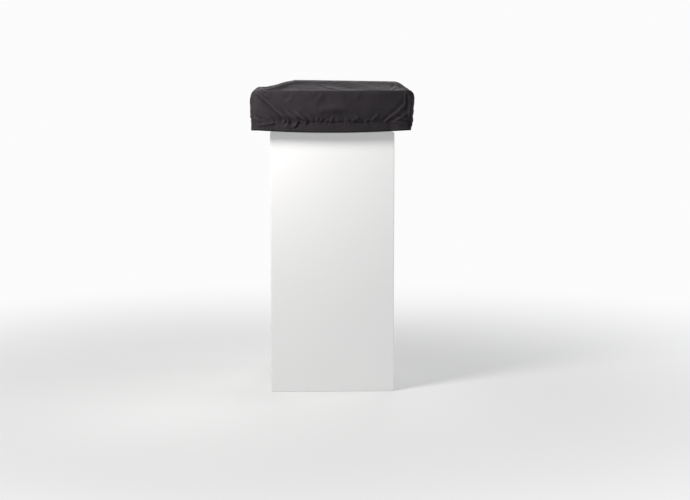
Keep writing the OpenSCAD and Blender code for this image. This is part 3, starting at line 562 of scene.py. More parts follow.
# Folds on a side of the cover: points (y, z), from its top corners and along its hem
SIDE_FOLDS = (
    ([(-0.590, 0.262), (-0.520, 0.196), (-0.440, 0.128), (-0.400, 0.080)], 0.013, 0.0080, 1),
    ([(-0.560, 0.270), (-0.480, 0.225), (-0.420, 0.190)], 0.011, 0.0045, 1),
    ([(-0.480, 0.160), (-0.400, 0.112), (-0.340, 0.080)], 0.012, 0.0060, 1),
    ([(0.596, 0.255), (0.530, 0.190), (0.470, 0.120), (0.440, 0.075)], 0.013, 0.0080, -1),
    ([(0.540, 0.262), (0.470, 0.215), (0.415, 0.185)], 0.011, 0.0045, -1),
    ([(-0.180, 0.255), (-0.140, 0.180), (-0.150, 0.110)], 0.018, 0.0035, 1),
    ([(0.120, 0.260), (0.170, 0.190), (0.160, 0.120)], 0.018, 0.0035, -1),
    ([(-0.330, 0.268), (-0.300, 0.215), (-0.235, 0.165)], 0.014, 0.0045, -1),
    ([(0.300, 0.266), (0.330, 0.205), (0.300, 0.140)], 0.015, 0.0050, 1),
    ([(0.010, 0.262), (-0.020, 0.200), (0.015, 0.150)], 0.016, 0.0035, 1),
    ([(-0.350, 0.150), (-0.270, 0.105), (-0.210, 0.085)], 0.011, 0.0050, 1),
    ([(0.390, 0.150), (0.320, 0.108), (0.250, 0.088)], 0.011, 0.0050, -1),
)
# Folds on the top of the cover: points (x, y), from its corners and edges to the raised part
TOP_FOLDS = (
    ([(-0.500, -0.575), (-0.400, -0.420), (-0.262, -0.215)], 0.017, 0.0035, 1),
    ([(-0.420, -0.580), (-0.350, -0.420), (-0.270, -0.250)], 0.014, 0.0028, -1),
    ([(-0.500, 0.575), (-0.400, 0.420), (-0.262, 0.215)], 0.017, 0.0040, -1),
    ([(-0.400, 0.580), (-0.330, 0.420), (-0.262, 0.250)], 0.014, 0.0030, 1),
    ([(-0.505, -0.300), (-0.400, -0.220), (-0.275, -0.160)], 0.016, 0.0024, 1),
    ([(-0.505, 0.240), (-0.390, 0.190), (-0.275, 0.150)], 0.016, 0.0024, -1),
    ([(0.515, -0.580), (0.492, -0.400), (0.462, -0.225)], 0.015, 0.0055, -1),
    ([(0.400, -0.580), (0.430, -0.420), (0.455, -0.240)], 0.014, 0.0045, 1),
    ([(0.515, 0.580), (0.492, 0.400), (0.462, 0.225)], 0.015, 0.0055, 1),
    ([(0.420, 0.585), (0.440, 0.420), (0.455, 0.250)], 0.014, 0.0045, -1),
    ([(0.030, -0.330), (0.100, -0.470), (0.180, -0.575)], 0.013, 0.0045, 1),
    ([(-0.080, -0.300), (-0.030, -0.450), (0.060, -0.575)], 0.015, 0.0038, -1),
    ([(0.220, 0.300), (0.160, 0.450), (0.200, 0.575)], 0.015, 0.0042, 1),
    ([(-0.100, 0.280), (-0.160, 0.440), (-0.140, 0.570)], 0.015, 0.0038, -1),
    ([(-0.100, -0.185), (-0.060, 0.000), (-0.110, 0.185)], 0.022, 0.0040, 1),
    ([(0.170, -0.185), (0.210, 0.020), (0.160, 0.185)], 0.022, 0.0040, -1),
)

# Section of a fold: depth of its groove, and the groove's place and width in widths of the ridge
GROOVE_DEPTH, GROOVE_PLACE, GROOVE_WIDTH = 0.55, 1.7, 1.15
# Ends of a fold: shares of its length over which it comes and goes, and the share of its height left there
FOLD_START, FOLD_END, FOLD_LEAST = 0.16, 0.22, 0.12
# Distance from its line, in widths, where a fold ends
FOLD_REACH = 6
# Groove of a gathered line: its depth, its width, and the run over which it comes at its ends
LINE_DEPTH, LINE_WIDTH, LINE_RUN = 0.0042, 0.0065, 0.08
# Wander of that line, as height and length: a slow sway, and scallops of uneven length
SWAY, SCALLOPS, UNEVEN = (0.004, 0.19), (0.005, 0.047), (1.3, 0.05)
# Dent in the middle of an end: its depth, its place and its size
DENT_DEPTH, DENT_PLACE, DENT_SIZE = 0.0045, (0.06, 0.135), (0.12, 0.035)
# Share of the ripples that is left in the lowest part of an end, and the heights where the rest comes
CALM_SHARE, CALM_HEIGHTS = 0.25, (0.045, 0.03)
# Sides: gathered line over the hem, strength of the folds, and the cloth's lean inwards with its limit
SIDE_CINCH, SIDE_STRENGTH, SIDE_IN, SIDE_DEEPEST = 0.022, 1.15, 0.0025, -0.0035
# Seeds of the small puckers and ripples
FRONT_SEED, REAR_SEED, RIGHT_SEED, LEFT_SEED, TOP_SEED = 11, 47, 83, 129, 201

# Shaping of the cover's walls, each as a place where it starts and the run over which it comes, in metres
SIDE_HEM_RUN = (COVER_HALF_Y - 0.085, 0.07)
TUCK_HEIGHTS = (0.125, 0.075)
TUCK_CORNERS = (0.46, 0.08)
RIGHT_TUCK_HEIGHTS = (0.080, 0.062)
LEAN_HEIGHTS = (0.190, 0.120)
LEAN_DEPTHS = (-0.38, 0.10)
CAP_RUN = (0.04, 0.04)
TRACK_ENDS = (TRACK_HIGH.y + 0.015, 0.012)
TRACK_FOOT = (TRACK_LOW.z - 0.012, 0.010)
TRACK_HEAD = (TRACK_HIGH.z + 0.064, 0.060)
# How far the walls are drawn in: both ends and the right side at the hem, and its front corner higher up
TUCK, RIGHT_TUCK, LEAN = 0.016, 0.021, 0.009
# Share of the tuck that is left at the corners
CORNER_TUCK = 0.35
# Gaps that the cloth keeps from the rails' end caps and the track, and how much deeper it may lie elsewhere
CAP_GAP, TRACK_GAP, FREE_DEPTH = 0.005, 0.0042, 0.03
# Distance from the end caps' outer side to the middle of a rail
RAIL_HALF = 0.02
# Rows up a wall, dense in its lower part, and over its rounded edge
LOW_SHARE, LOW_ROWS, HIGH_ROWS, EDGE_ROWS = 0.4, 26, 19, 9
# Least share of a way that counts as facing straight to one side
STRAIGHT = 0.999

# Raised part of the top: margins of the cloth over the ladder's feet, pivot and sides, and its corners
FEET_MARGIN, PIVOT_MARGIN, LADDER_MARGIN, RAISED_CORNER = 0.010, 0.021, 0.014, 0.03
# Gap of the cloth over the ladder, and its fall from the feet to the pivot
LADDER_GAP, LADDER_FALL = 0.002, 0.0105
# Rows from the rim to the raised part, and over that to the middle
SLOPE_ROWS, CROWN_ROWS = 24, 12
# Low shelf on the left, before the top climbs: share of the way, and how softly the climb starts
SHELF_SHARE, SHELF_EASE = 0.16, 0.02
# Where the shelf ends along X, and how sharply it ends round the corners
SHELF_RUN, SHELF_TURN = (-0.30, 0.15), -1.6
# Sag: share of it that the corners hold up, share that is left at the sides, and the share of it that is
# painted as shade in the cloth's colour
CORNER_HOLD, SIDE_SAG, SAG_PAINTED_SHADE = 0.8, 0.15, 0.6
# Ripples at the rim, as a share, and the share of the way over which the folds of the top come
RIM_RIPPLES, TOP_FOLD_START = 0.15, 0.12
# Over the ladder: share of the ripples, highest fold, and the share of the way over which they come
CROWN_RIPPLES, CROWN_FOLD, CROWN_START = 0.6, 0.002, 0.3
# Dip of the cloth beside the ladder's legs, and how broadly it lies over a leg
LEG_DIP, LEG_WIDTH = 0.007, 0.05
# Points along the cover's front, sides and rear, and round a corner
FRONT_STEPS, SIDE_STEPS, REAR_STEPS, CORNER_STEPS = 200, 84, 150, 12

# Piping in the top seam: its radius and its lift off the cloth
COVER_PIPING, PIPING_LIFT = 0.0021, 0.0004
STITCH_SIZE = (0.0056, 0.0011, 0.0009)
# Hem binding: height, how far it stands out, in, off the cloth and below it, and the rows that it can reach
BAND_HEIGHT, BAND_PROUD, BAND_INSIDE, BAND_GAP = 0.016, 0.0014, 0.0014, 0.0002
BAND_UNDER, BAND_LIP, BAND_ROWS = 0.002, 0.0012, 14
# Bead: rings along it, points round it, half of its opening in degrees, and half of its flap's thickness
BEAD_RINGS, BEAD_SIDES, BEAD_OPENING, FLAP_HALF = 90, 15, 14, 0.0008
# Height of a fold at which its painted shade and highlight in the cloth's colour are at full strength
FULL_FOLD_SHADE = 0.009


def smooth(t):
    t = np.clip(t, 0.0, 1.0)
    return t * t * (3 - 2 * t)


def rising(value, start, run):
    """0 up to a start and 1 after a run from there, eased."""
    return smooth((value - start) / run)


def falling(value, start, run):
    """0 from a start on and 1 a run before it, eased."""
    return smooth((start - value) / run)


def fold_height(u, z, line, width, height, side):
    """Height of one fold at points (u, z): a ridge along a line, with a groove on one side of it."""
    nearest = np.full(u.shape, 1e9)
    signed = np.zeros(u.shape)
    place = np.zeros(u.shape)
    for k, (p, q) in enumerate(zip(line, line[1:])):
        du, dz = q[0] - p[0], q[1] - p[1]
        span_length = math.hypot(du, dz)
        t = np.clip(((u - p[0]) * du + (z - p[1]) * dz) / span_length ** 2, 0.0, 1.0)
        off_u, off_z = u - p[0] - t * du, z - p[1] - t * dz
        distance = np.hypot(off_u, off_z)
        hit = distance < nearest
        nearest = np.where(hit, distance, nearest)
        signed = np.where(hit, np.copysign(distance, du * off_z - dz * off_u), signed)
        place = np.where(hit, (k + t) / (len(line) - 1), place)
    across = signed * side / width
    groove = GROOVE_DEPTH * np.exp(-((across - GROOVE_PLACE) / GROOVE_WIDTH) ** 2)
    ends = rising(place, 0.0, FOLD_START) * falling(place, 1.0, FOLD_END)
    shape = (np.exp(-across ** 2) - groove) * (FOLD_LEAST + (1 - FOLD_LEAST) * ends)
    return height * shape * (nearest < FOLD_REACH * width)


def ripples(u, v, seed, count, shortest, longest, height):
    """Soft uneven waves over a cloth, from a fixed seed."""
    draw = np.random.RandomState(seed)
    total = np.zeros(u.shape)
    for _ in range(count):
        angle = draw.uniform(0, math.pi)
        length = math.exp(draw.uniform(math.log(shortest), math.log(longest)))
        phase = draw.uniform(0, 2 * math.pi)
        wave = np.cos(2 * math.pi * (u * math.cos(angle) + v * math.sin(angle)) / length + phase)
        total += wave * length / longest
    return height * total / math.sqrt(count)


def gathers(u, z, cinch, seed, start, end, step, tall):
    """Puckers that stand on a gathered line, with the groove of the line itself."""
    draw = np.random.RandomState(seed)
    total = np.zeros(u.shape)
    place = start
    while place < end:
        rise = tall * draw.uniform(0.25, 1.0)
        lean = draw.uniform(-1.5, 0.7) * rise
        foot = cinch + draw.uniform(-0.008, 0.008)
        bend = draw.uniform(0.1, 0.6) * lean
        line = [(place + lean, foot + rise), (place + bend, foot + 0.45 * rise), (place, foot - 0.004)]
        width = draw.uniform(0.005, 0.0095)
        height = draw.uniform(0.0018, 0.0050)
        total += fold_height(u, z, line, width, height, draw.choice((-1, 1)))
        place += step * draw.uniform(0.4, 1.7)
    sway = SWAY[0] * np.sin(2 * math.pi * u / SWAY[1] + seed)
    uneven = UNEVEN[0] * np.sin(u / UNEVEN[1])
    scallops = SCALLOPS[0] * np.abs(np.sin(math.pi * u / SCALLOPS[1] + uneven))
    groove = LINE_DEPTH * np.exp(-((z - cinch - (sway + scallops)) / LINE_WIDTH) ** 2)
    return total - rising(u, start, LINE_RUN) * falling(u, end, LINE_RUN) * groove


def end_slack(u, z, cinch, seed):
    """How far the cloth stands out on an end of the cover."""
    total = sum(fold_height(u, z, *fold) for fold in FRONT_FOLDS)
    total += gathers(u, z, cinch, seed, start=-0.20, end=0.36, step=0.021, tall=0.062)
    aside, above = (u - DENT_PLACE[0]) / DENT_SIZE[0], (z - DENT_PLACE[1]) / DENT_SIZE[1]
    waves = ripples(u, z, seed + 1, count=26, shortest=0.035, longest=0.26, height=0.0030)
    waves = waves * (CALM_SHARE + (1 - CALM_SHARE) * rising(z, *CALM_HEIGHTS))
    return total + waves - DENT_DEPTH * np.exp(-aside ** 2 - above ** 2)


def side_slack(u, z, hem, seed):
    """How far the cloth stands out on a side of the cover."""
    total = sum(fold_height(u, z, *fold) for fold in SIDE_FOLDS)
    total += gathers(u, z, hem + SIDE_CINCH, seed, start=-0.55, end=0.55, step=0.034, tall=0.045)
    waves = ripples(u, z, seed + 1, count=22, shortest=0.06, longest=0.36, height=0.0030)
    return np.maximum(SIDE_STRENGTH * total + waves - SIDE_IN, SIDE_DEEPEST)


def top_slack(row):
    """How far the cloth stands up on the top of the cover."""
    return sum(fold_height(row[:, 0], row[:, 1], *fold) for fold in TOP_FOLDS)


def top_ripples(row):
    """Soft waves of the top."""
    return ripples(row[:, 0], row[:, 1], TOP_SEED, count=24, shortest=0.07, longest=0.42, height=0.0042)


def cover_plan(half_x, half_y, corner, centre=(0.0, 0.0)):
    """Points round a rectangle with round corners and the way each faces, dense along the two ends."""
    points, facing = [], []
    runs = (
        ((-half_x + corner, -half_y), (half_x - corner, -half_y), FRONT_STEPS, (0, -1)),
        ((half_x, -half_y + corner), (half_x, half_y - corner), SIDE_STEPS, (1, 0)),
        ((half_x - corner, half_y), (-half_x + corner, half_y), REAR_STEPS, (0, 1)),
        ((-half_x, half_y - corner), (-half_x, -half_y + corner), SIDE_STEPS, (-1, 0)),
    )
    for k, (p, q, count, way) in enumerate(runs):
        t = np.arange(count)[:, None] / count
        points.append(np.asarray(p) + (np.asarray(q) - np.asarray(p)) * t)
        facing.append(np.broadcast_to(np.asarray(way, float), (count, 2)))
        turn = np.radians(-90 + 90 * k + 90 * np.arange(CORNER_STEPS) / CORNER_STEPS)
        ways = np.stack([np.cos(turn), np.sin(turn)], 1)
        middle = np.asarray(q) - corner * ways[0]
        points.append(middle + corner * ways)
        facing.append(ways)
    return np.vstack(points) + centre, np.vstack(facing)


def raised_height(x):
    """Height of the cloth over the ladder, which falls a little from its feet to its pivot."""
    share = np.clip((x - FEET_LOW.x) / (PIVOT_HIGH.x - FEET_LOW.x), 0.0, 1.0)
    return SHELL_HIGH.z + LADDER_GAP - LADDER_FALL * share


def cover_walls(s, plan, facing):
    """Rows of points up the cover's walls and over their rounded edge, with the height of the folds."""
    x, y = plan[:, 0], plan[:, 1]
    end = facing[:, 1] ** 2
    straight_end = end > STRAIGHT
    front, rear = end * (y < 0), end * (y > 0)
    right, left = (1 - end) * (x > 0), (1 - end) * (x < 0)
    edge = s.side_edge * (1 - end) + s.end_edge * end
    edge_start = ROOF_HIGH.z + s.rim_gap - edge
    corner_hem = s.hem + s.hem_rise
    end_hem = s.hem + s.hem_rise * np.minimum(1.0, np.abs(x) / (COVER_HALF_X - s.corner)) ** 2
    side_hem = corner_hem + (s.side_hem - corner_hem) * falling(np.abs(y), *SIDE_HEM_RUN)
    hem = np.where(straight_end, end_hem, side_hem)
    levels = np.concatenate([np.linspace(0, LOW_SHARE, LOW_ROWS, endpoint=False),
                             np.linspace(LOW_SHARE, 1.0, HIGH_ROWS)])
    steps = [(hem + (edge_start - hem) * level, 0.0) for level in levels]
    turns = np.radians(np.linspace(0, 90, EDGE_ROWS))[1:]
    steps += [(edge_start + edge * math.sin(turn), turn) for turn in turns]
    off_cap = np.abs(np.abs(x) - CAPS_HIGH.x + RAIL_HALF)
    deepest = CAPS_HIGH.y + CAP_GAP - COVER_HALF_Y - FREE_DEPTH * rising(off_cap, *CAP_RUN)
    near_front = falling(y, *LEAN_DEPTHS)
    beside_track = (facing[:, 0] > STRAIGHT) * falling(np.abs(y), *TRACK_ENDS)
    off_corner = CORNER_TUCK + (1 - CORNER_TUCK) * falling(np.abs(x), *TUCK_CORNERS)
    rows, lifts = [], []
    for z, tilt in steps:
        lift = front * end_slack(x, z, s.cinch, FRONT_SEED) + rear * end_slack(-x, z, s.cinch, REAR_SEED)
        lift = lift + right * side_slack(y, z, s.side_hem, RIGHT_SEED)
        lift = lift + left * side_slack(-y, z, s.side_hem, LEFT_SEED)
        drawn_in = np.maximum(RIGHT_TUCK * falling(z, *RIGHT_TUCK_HEIGHTS),
                              LEAN * near_front * falling(z, *LEAN_HEIGHTS))
        tuck = TUCK * falling(z, *TUCK_HEIGHTS) * end * off_corner + right * drawn_in
        out = lift * math.cos(tilt) - edge * (1 - math.cos(tilt)) - tuck
        out = np.where(straight_end & (z < edge_start), np.maximum(out, deepest), out)
        by_track = beside_track * rising(z, *TRACK_FOOT) * falling(z, *TRACK_HEAD)
        out = np.maximum(out, TRACK_HIGH.x + TRACK_GAP - COVER_HALF_X - FREE_DEPTH * (1 - by_track))
        rows.append(np.column_stack([plan + facing * out[:, None], z + lift * math.sin(tilt)]))
        lifts.append(lift)
    return rows, lifts


def cover_slope(s, plan, facing, rim_row, raised_row):
    """Rows of points from the rim to the raised part of the top, which sag between them."""
    end = facing[:, 1] ** 2
    tension = np.abs(facing[:, 0] * facing[:, 1]) * 2
    shelf = np.maximum(np.clip(SHELF_TURN * facing[:, 0], 0.0, 1.0), falling(plan[:, 0], *SHELF_RUN))
    rows, lifts = [], []
    for t in np.linspace(0, 1, SLOPE_ROWS)[1:]:
        row = rim_row + (raised_row - rim_row) * t
        past_shelf = max(0.0, (t - SHELF_SHARE) / (1 - SHELF_SHARE))
        late = (math.hypot(past_shelf, SHELF_EASE) - SHELF_EASE) / (math.hypot(1.0, SHELF_EASE) - SHELF_EASE)
        row[:, 2] = rim_row[:, 2] + (raised_row[:, 2] - rim_row[:, 2]) * (t + (late - t) * shelf)
        slack = s.sag * (1 - CORNER_HOLD * tension) * (SIDE_SAG + (1 - SIDE_SAG) * end)
        sagging = slack * 4 * t * (1 - t)
        waves = top_ripples(row) * math.sin(math.pi * min(1.0, RIM_RIPPLES + (1 - RIM_RIPPLES) * t))
        lift = waves + top_slack(row) * rising(t, 0.0, TOP_FOLD_START) - sagging
        row[:, 2] += lift
        rows.append(row)
        # Painted shade: part of the sag goes into the heights that darken the cloth's colour
        lifts.append(lift + (1 - SAG_PAINTED_SHADE) * sagging)
    return rows, lifts


def cover_crown(raised, centre):
    """Rows of points over the ladder to the middle of the top, which dip beside its legs."""
    rows, lifts = [], []
    for q in np.linspace(0, 1, CROWN_ROWS)[1:-1]:
        flat = raised + (centre - raised) * q
        over_leg = np.exp(-((np.abs(flat[:, 1]) - LEG_Y) / LEG_WIDTH) ** 2)
        lift = top_ripples(flat) * CROWN_RIPPLES - LEG_DIP * (1 - over_leg)
        lift = lift + np.minimum(top_slack(flat), CROWN_FOLD)
        height = raised_height(flat[:, 0]) + lift * rising(q, 0.0, CROWN_START)
        rows.append(np.column_stack([flat, height]))
        lifts.append(lift)
    return rows, lifts


def cover_surface(s):
    """Points of the cover from its hem to the middle of its top, row by row, with the height of its folds,
    which sets the painted shade and highlight in the cloth's colour.
    """
    plan, facing = cover_plan(COVER_HALF_X, COVER_HALF_Y, s.corner)
    rows, lifts = cover_walls(s, plan, facing)
    wall_rows = len(rows)
    left, right = FEET_LOW.x + FEET_MARGIN, PIVOT_HIGH.x + PIVOT_MARGIN
    centre = np.array([(left + right) / 2, 0.0])
    raised, _ = cover_plan((right - left) / 2, LADDER_MARGIN - FEET_LOW.y, RAISED_CORNER, centre)
    raised_row = np.column_stack([raised, raised_height(raised[:, 0])])
    slope = cover_slope(s, plan, facing, rows[-1], raised_row)
    crown = cover_crown(raised, centre)
    rows = np.stack(rows + slope[0] + crown[0])
    lifts = np.stack(lifts + slope[1] + crown[1])
    return rows, lifts, rows[-1].mean(0)[None], wall_rows


def row_facing(rows, j):
    """The way the cloth faces along one of its rows."""
    around = np.roll(rows[j], -1, 0) - np.roll(rows[j], 1, 0)
    up = rows[min(j + 1, len(rows) - 1)] - rows[max(j - 1, 0)]
    way = np.cross(around, up)
    return way / np.linalg.norm(way, axis=1)[:, None]


def cover_uvs(rows, wall_rows, pole):
    """Place of each face corner on the cloth: along the hem and up on the walls, flat on the top."""
    count = rows.shape[1]
    around = lengths(np.vstack([rows[0], rows[0][:1]]))
    uvs = []
    for j in range(len(rows) - 1):
        for i in range(count):
            for step, rise in QUAD:
                point = rows[j + rise, (i + step) % count]
                uvs.append((around[i + step], point[2]) if j < wall_rows - 1 else tuple(point[:2]))
    for i in range(count):
        uvs += [tuple(rows[-1, i, :2]), tuple(rows[-1, (i + 1) % count, :2]), tuple(pole[0, :2])]
    return uvs


def make_cover(s):
    """The travel cover, its hem, piping, stitches and bead."""
    rows, lifts, pole, wall_rows = cover_surface(s)
    count = rows.shape[1]
    points = np.vstack([rows.reshape(-1, 3), pole])
    faces = grid_faces(len(rows), count, True)
    last = (len(rows) - 1) * count
    faces += [(last + i, last + (i + 1) % count, len(points) - 1) for i in range(count)]
    mesh = cloth_mesh("travel_cover", points, faces, cover_uvs(rows, wall_rows, pole))
    # Painted shade and highlight: the heights of folds, gathers and sag darken the cloth's colour in grooves
    # and lighten it on ridges
    painted_fold_shade = mesh.attributes.new("painted_fold_shade", "FLOAT", "POINT")
    painted_shade_values = np.clip(np.append(lifts.ravel(), 0.0) / FULL_FOLD_SHADE, -1, 1)
    painted_fold_shade.data.foreach_set("value", painted_shade_values.astype(np.float32))
    cloth = cloth_material("cover_cloth", s.colour, thread=0.0011, relief=0.00022, rough=0.66,
                           spread=(0.9, 1.1), folds=True, values={"Specular IOR Level": 0.035})
    binding = cloth_material("cover_binding", s.binding, thread=0.0016, relief=0.0003, rough=0.62,
                             values={"Specular IOR Level": 0.1})
    # The piping is real; its colour, lighter than the cloth, is a painted highlight along the top edge
    welt = cloth_material("cover_welt", s.piping, thread=0.0016, relief=0.0002, rough=0.6,
                          values={"Specular IOR Level": 0.1})
    thread = moulded_material("cover_thread", s.thread, 0.6)
    cover = thicken(show("travel_cover", mesh, cloth), s.cloth)
    band = cover_band("cover_hem", rows, binding)
    piping = tube("cover_piping", rows[wall_rows - 3] + PIPING_LIFT, COVER_PIPING, welt)
    tree = row_tree("Stitches along a seam", True)
    stitched = []
    # Rows of the cover with a seam, and how far its stitches stand off them
    for name, seams in (("cover_stitches", ((wall_rows - 5, 0.0006), (wall_rows + 1, 0.0009))),
                        ("hem_stitches", ((3, 0.0026),))):
        paths = []
        for row, proud in seams:
            way = row_facing(rows, row)
            paths.append((rows[row] + way * proud, way, True))
        stitched.append(laid_row(name, tree, paths, s.stitch_pitch, STITCH_SIZE, thread))
    trim = [band, piping, *stitched]
    for piece in [cover, *trim]:
        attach(piece, "cover")
        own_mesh(piece)
    bead = cover_bead(binding)
    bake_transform(bead)
    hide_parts("cover_shell")
    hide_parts("cover_bead")


def cover_band(name, rows, material):
    """A binding folded round the cover's lower edge, which follows its cloth."""
    line, way = rows[0], row_facing(rows, 0)
    count = len(line)
    up = np.column_stack([np.zeros((count, 2)), np.ones(count)])
    above = line.copy()
    target = line[:, 2] + BAND_HEIGHT
    for i in range(count):
        column = rows[:BAND_ROWS, i]
        above[i] = [np.interp(target[i], column[:, 2], column[:, k]) for k in range(3)]
    rings = [line - way * (BAND_PROUD + BAND_INSIDE) - up * BAND_UNDER,
             line + way * BAND_PROUD - up * BAND_UNDER,
             above + way * BAND_PROUD, above + way * BAND_GAP, line + way * BAND_GAP - up * BAND_LIP]
    around = lengths(np.vstack([line, line[:1]]))
    uvs = [(around[i + step], 0.01 * (ring + rise))
           for ring in range(len(rings)) for i in range(count) for step, rise in QUAD]
    faces = grid_faces(len(rings), count, True, wrapped=True)
    return show(name, cloth_mesh(name, np.vstack(rings), faces, uvs), material)


def cover_bead(material):
    """The bead in the track, with the flap that sews it to the cover."""
    x, z = COVER_AXIS[0], COVER_AXIS[2]
    radius = (BEAD_HIGH.z - BEAD_LOW.z) / 2
    profile = [(x + radius * math.cos(turn), z + radius * math.sin(turn))
               for turn in np.radians(np.linspace(BEAD_OPENING, 360 - BEAD_OPENING, BEAD_SIDES))]
    profile += [(BEAD_HIGH.x, z - FLAP_HALF), (BEAD_HIGH.x, z + FLAP_HALF)]
    points = [(px, y, pz) for y in np.linspace(BEAD_LOW.y, BEAD_HIGH.y, BEAD_RINGS) for px, pz in profile]
    faces = bar_faces(BEAD_RINGS, len(profile))
    uvs = [(points[v][1], points[v][0] + points[v][2]) for face in faces for v in face]
    mesh = cloth_mesh("cover_bead_cord", points, faces, uvs)
    outward(mesh)
    return show("cover_bead_cord", mesh, material)


# Packed canopy

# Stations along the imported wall: on each end, round each corner and along the free edge
END_STATIONS, CORNER_STATIONS, EDGE_STATIONS = 70, 7, 80
WALL_STATIONS = 2 * (END_STATIONS + CORNER_STATIONS) + EDGE_STATIONS
WALL_CORNER = 0.028
# Rows up the whole wall, rows that a part of it would have at full height, and the least that it has
WALL_ROWS, PART_ROWS, LEAST_ROWS = 99, 96, 4
# How sharp the pleats are: 1 for a plain wave, less for broader folds
PLEAT_SHAPE = 0.75
# Openings: first and last station, lower and upper share of the wall's height
OPENINGS = (("front_window", 18, 62, 0.30, 0.70), ("rear_window", 172, 216, 0.30, 0.70),
            ("door", 92, 142, 0.60, 0.90), ("end_window", 92, 142, 0.12, 0.40))
# How far net and edging stand off the wall, and the edging's reach outside and inside an opening, as shares
NET_PROUD, EDGING_PROUD = 0.0012, 0.0022
EDGING_OUT, EDGING_IN = 0.012, 0.008


def canopy_columns():
    """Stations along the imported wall, on its front end, free edge and rear end, with the way each faces."""
    edge_x, edge_y, corner = ROOF_HIGH.x, ROOF_HIGH.y, WALL_CORNER
    places = [(x, -edge_y) for x in np.linspace(PACK_LOW.x, edge_x - corner, END_STATIONS)]
    facing = [(0.0, -1.0)] * END_STATIONS
    for turn in np.radians(np.linspace(-90, 0, CORNER_STATIONS + 2)[1:-1]):
        way = (math.cos(turn), math.sin(turn))
        places.append((edge_x - corner + corner * way[0], -edge_y + corner + corner * way[1]))
        facing.append(way)
    rear = [(x, -y) for x, y in reversed(places)]
    rear_facing = [(x, -y) for x, y in reversed(facing)]
    places += [(edge_x, y) for y in np.linspace(-edge_y + corner, edge_y - corner, EDGE_STATIONS)]
    facing += [(1.0, 0.0)] * EDGE_STATIONS
    return np.array(places + rear), np.array(facing + rear_facing)


def canopy_offset(t, s):
    """How far the pleated wall stands out at a share of its height."""
    wave = np.cos(2 * math.pi * s.pleats * t)
    shaped = np.sign(wave) * np.abs(wave) ** PLEAT_SHAPE
    return (s.outside - s.inside) / 2 + (s.outside + s.inside) / 2 * shaped


def canopy_point(columns, facing, t, s, proud):
    """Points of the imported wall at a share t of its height."""
    out = canopy_offset(t, s) + proud
    z = PACK_LOW.z + t * (PACK_HIGH.z - PACK_LOW.z)
    return np.column_stack([columns + facing * out, np.full(len(columns), z)])


def canopy_patch(name, material, s, first, last, low, high, proud, rows=None):
    """Part of the canopy wall as its own cloth, between two stations and two shares of its height."""
    columns, facing = canopy_columns()
    columns, facing = columns[first:last], facing[first:last]
    count = rows or max(LEAST_ROWS, int(PART_ROWS * (high - low)))
    shares = np.linspace(low, high, count)
    swings = math.pi * smooth(shares)
    points = np.vstack([canopy_point(columns, facing, t, s, proud) for t in shares])
    width = len(columns)
    faces = grid_faces(count, width, False)
    on_end = np.abs(facing[:, 1]) > 0.5
    uvs = []
    for face in faces:
        flat = all(on_end[v % width] for v in face)
        for v in face:
            out, up = points[v][0] - HINGE[0], points[v][2] - HINGE[2]
            turned = swings[v // width] + math.atan2(up, out)
            reach = math.hypot(out, up)
            if flat:
                uvs.append((reach * math.cos(turned), reach * math.sin(turned)))
            else:
                uvs.append((points[v][1], reach * turned))
    mesh = cloth_mesh(name, points, faces, uvs)
    run = float(np.linalg.norm(np.diff(columns, axis=0), axis=1).sum())
    return thicken(show(name, mesh, material), s.cloth, 0.0), run


def make_canopy(s):
    """The pleated canopy wall with its windows, door and edging, packed where it opens between the two floor
    halves.
    """
    canvas = cloth_material("canopy_canvas", s.colour, thread=0.0014, relief=0.0003, rough=0.78,
                            spread=(0.88, 1.1))
    net = cloth_material("canopy_net", s.window, thread=0.0022, relief=0.0006, rough=0.7)
    edging = cloth_material("canopy_edging", s.edging, thread=0.0016, relief=0.0004, rough=0.65)
    wall = canopy_patch("canopy_wall", canvas, s, 0, WALL_STATIONS, 0.0, 1.0, 0.0, WALL_ROWS)
    panels, bindings = [wall], []
    for name, first, last, low, high in OPENINGS:
        panels.append(canopy_patch("canopy_" + name, net, s, first, last, low, high, NET_PROUD))
        for side, part in (("low", (first - 1, last + 1, low - EDGING_OUT, low + EDGING_IN)),
                           ("high", (first - 1, last + 1, high - EDGING_IN, high + EDGING_OUT)),
                           ("near", (first - 1, first + 1, low, high)),
                           ("far", (last - 1, last + 1, low, high))):
            bindings.append(canopy_patch(f"canopy_{name}_{side}_edging", edging, s, *part, EDGING_PROUD)[0])
    for name, first in (("front", 0), ("rear", WALL_STATIONS - 2)):
        part = (first, first + 2, 0.0, 1.0)
        bindings.append(
            canopy_patch(f"canopy_{name}_hinge_edging", edging, s, *part, EDGING_PROUD, WALL_ROWS)[0])
    low, high = (0.0, 0.0, PACK_LOW.z), (0.0, 0.0, PACK_HIGH.z)
    for piece in [panel for panel, _ in panels] + bindings:
        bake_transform(piece)
    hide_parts("canopy_pack")


# Mattress halves

CORNER_POINTS = 8
PRESSURE, FILL_STEPS = 4.0, 20
# Room that the slab leaves below and above, before and after it is filled
START_BELOW, START_ABOVE, LEAST_BELOW, LEAST_ABOVE = 0.001, 0.002, 0.0005, 0.001
# Piping of a mattress: radius, distance of its points, and how far outside they are looked for
MATTRESS_PIPING, PIPING_STEP, RAY_START = 0.0028, 0.015, 0.08
# Pipings round a mattress, at shares of its height
PIPING_SHARES = (("seam", 0.2), ("edge", 0.85))


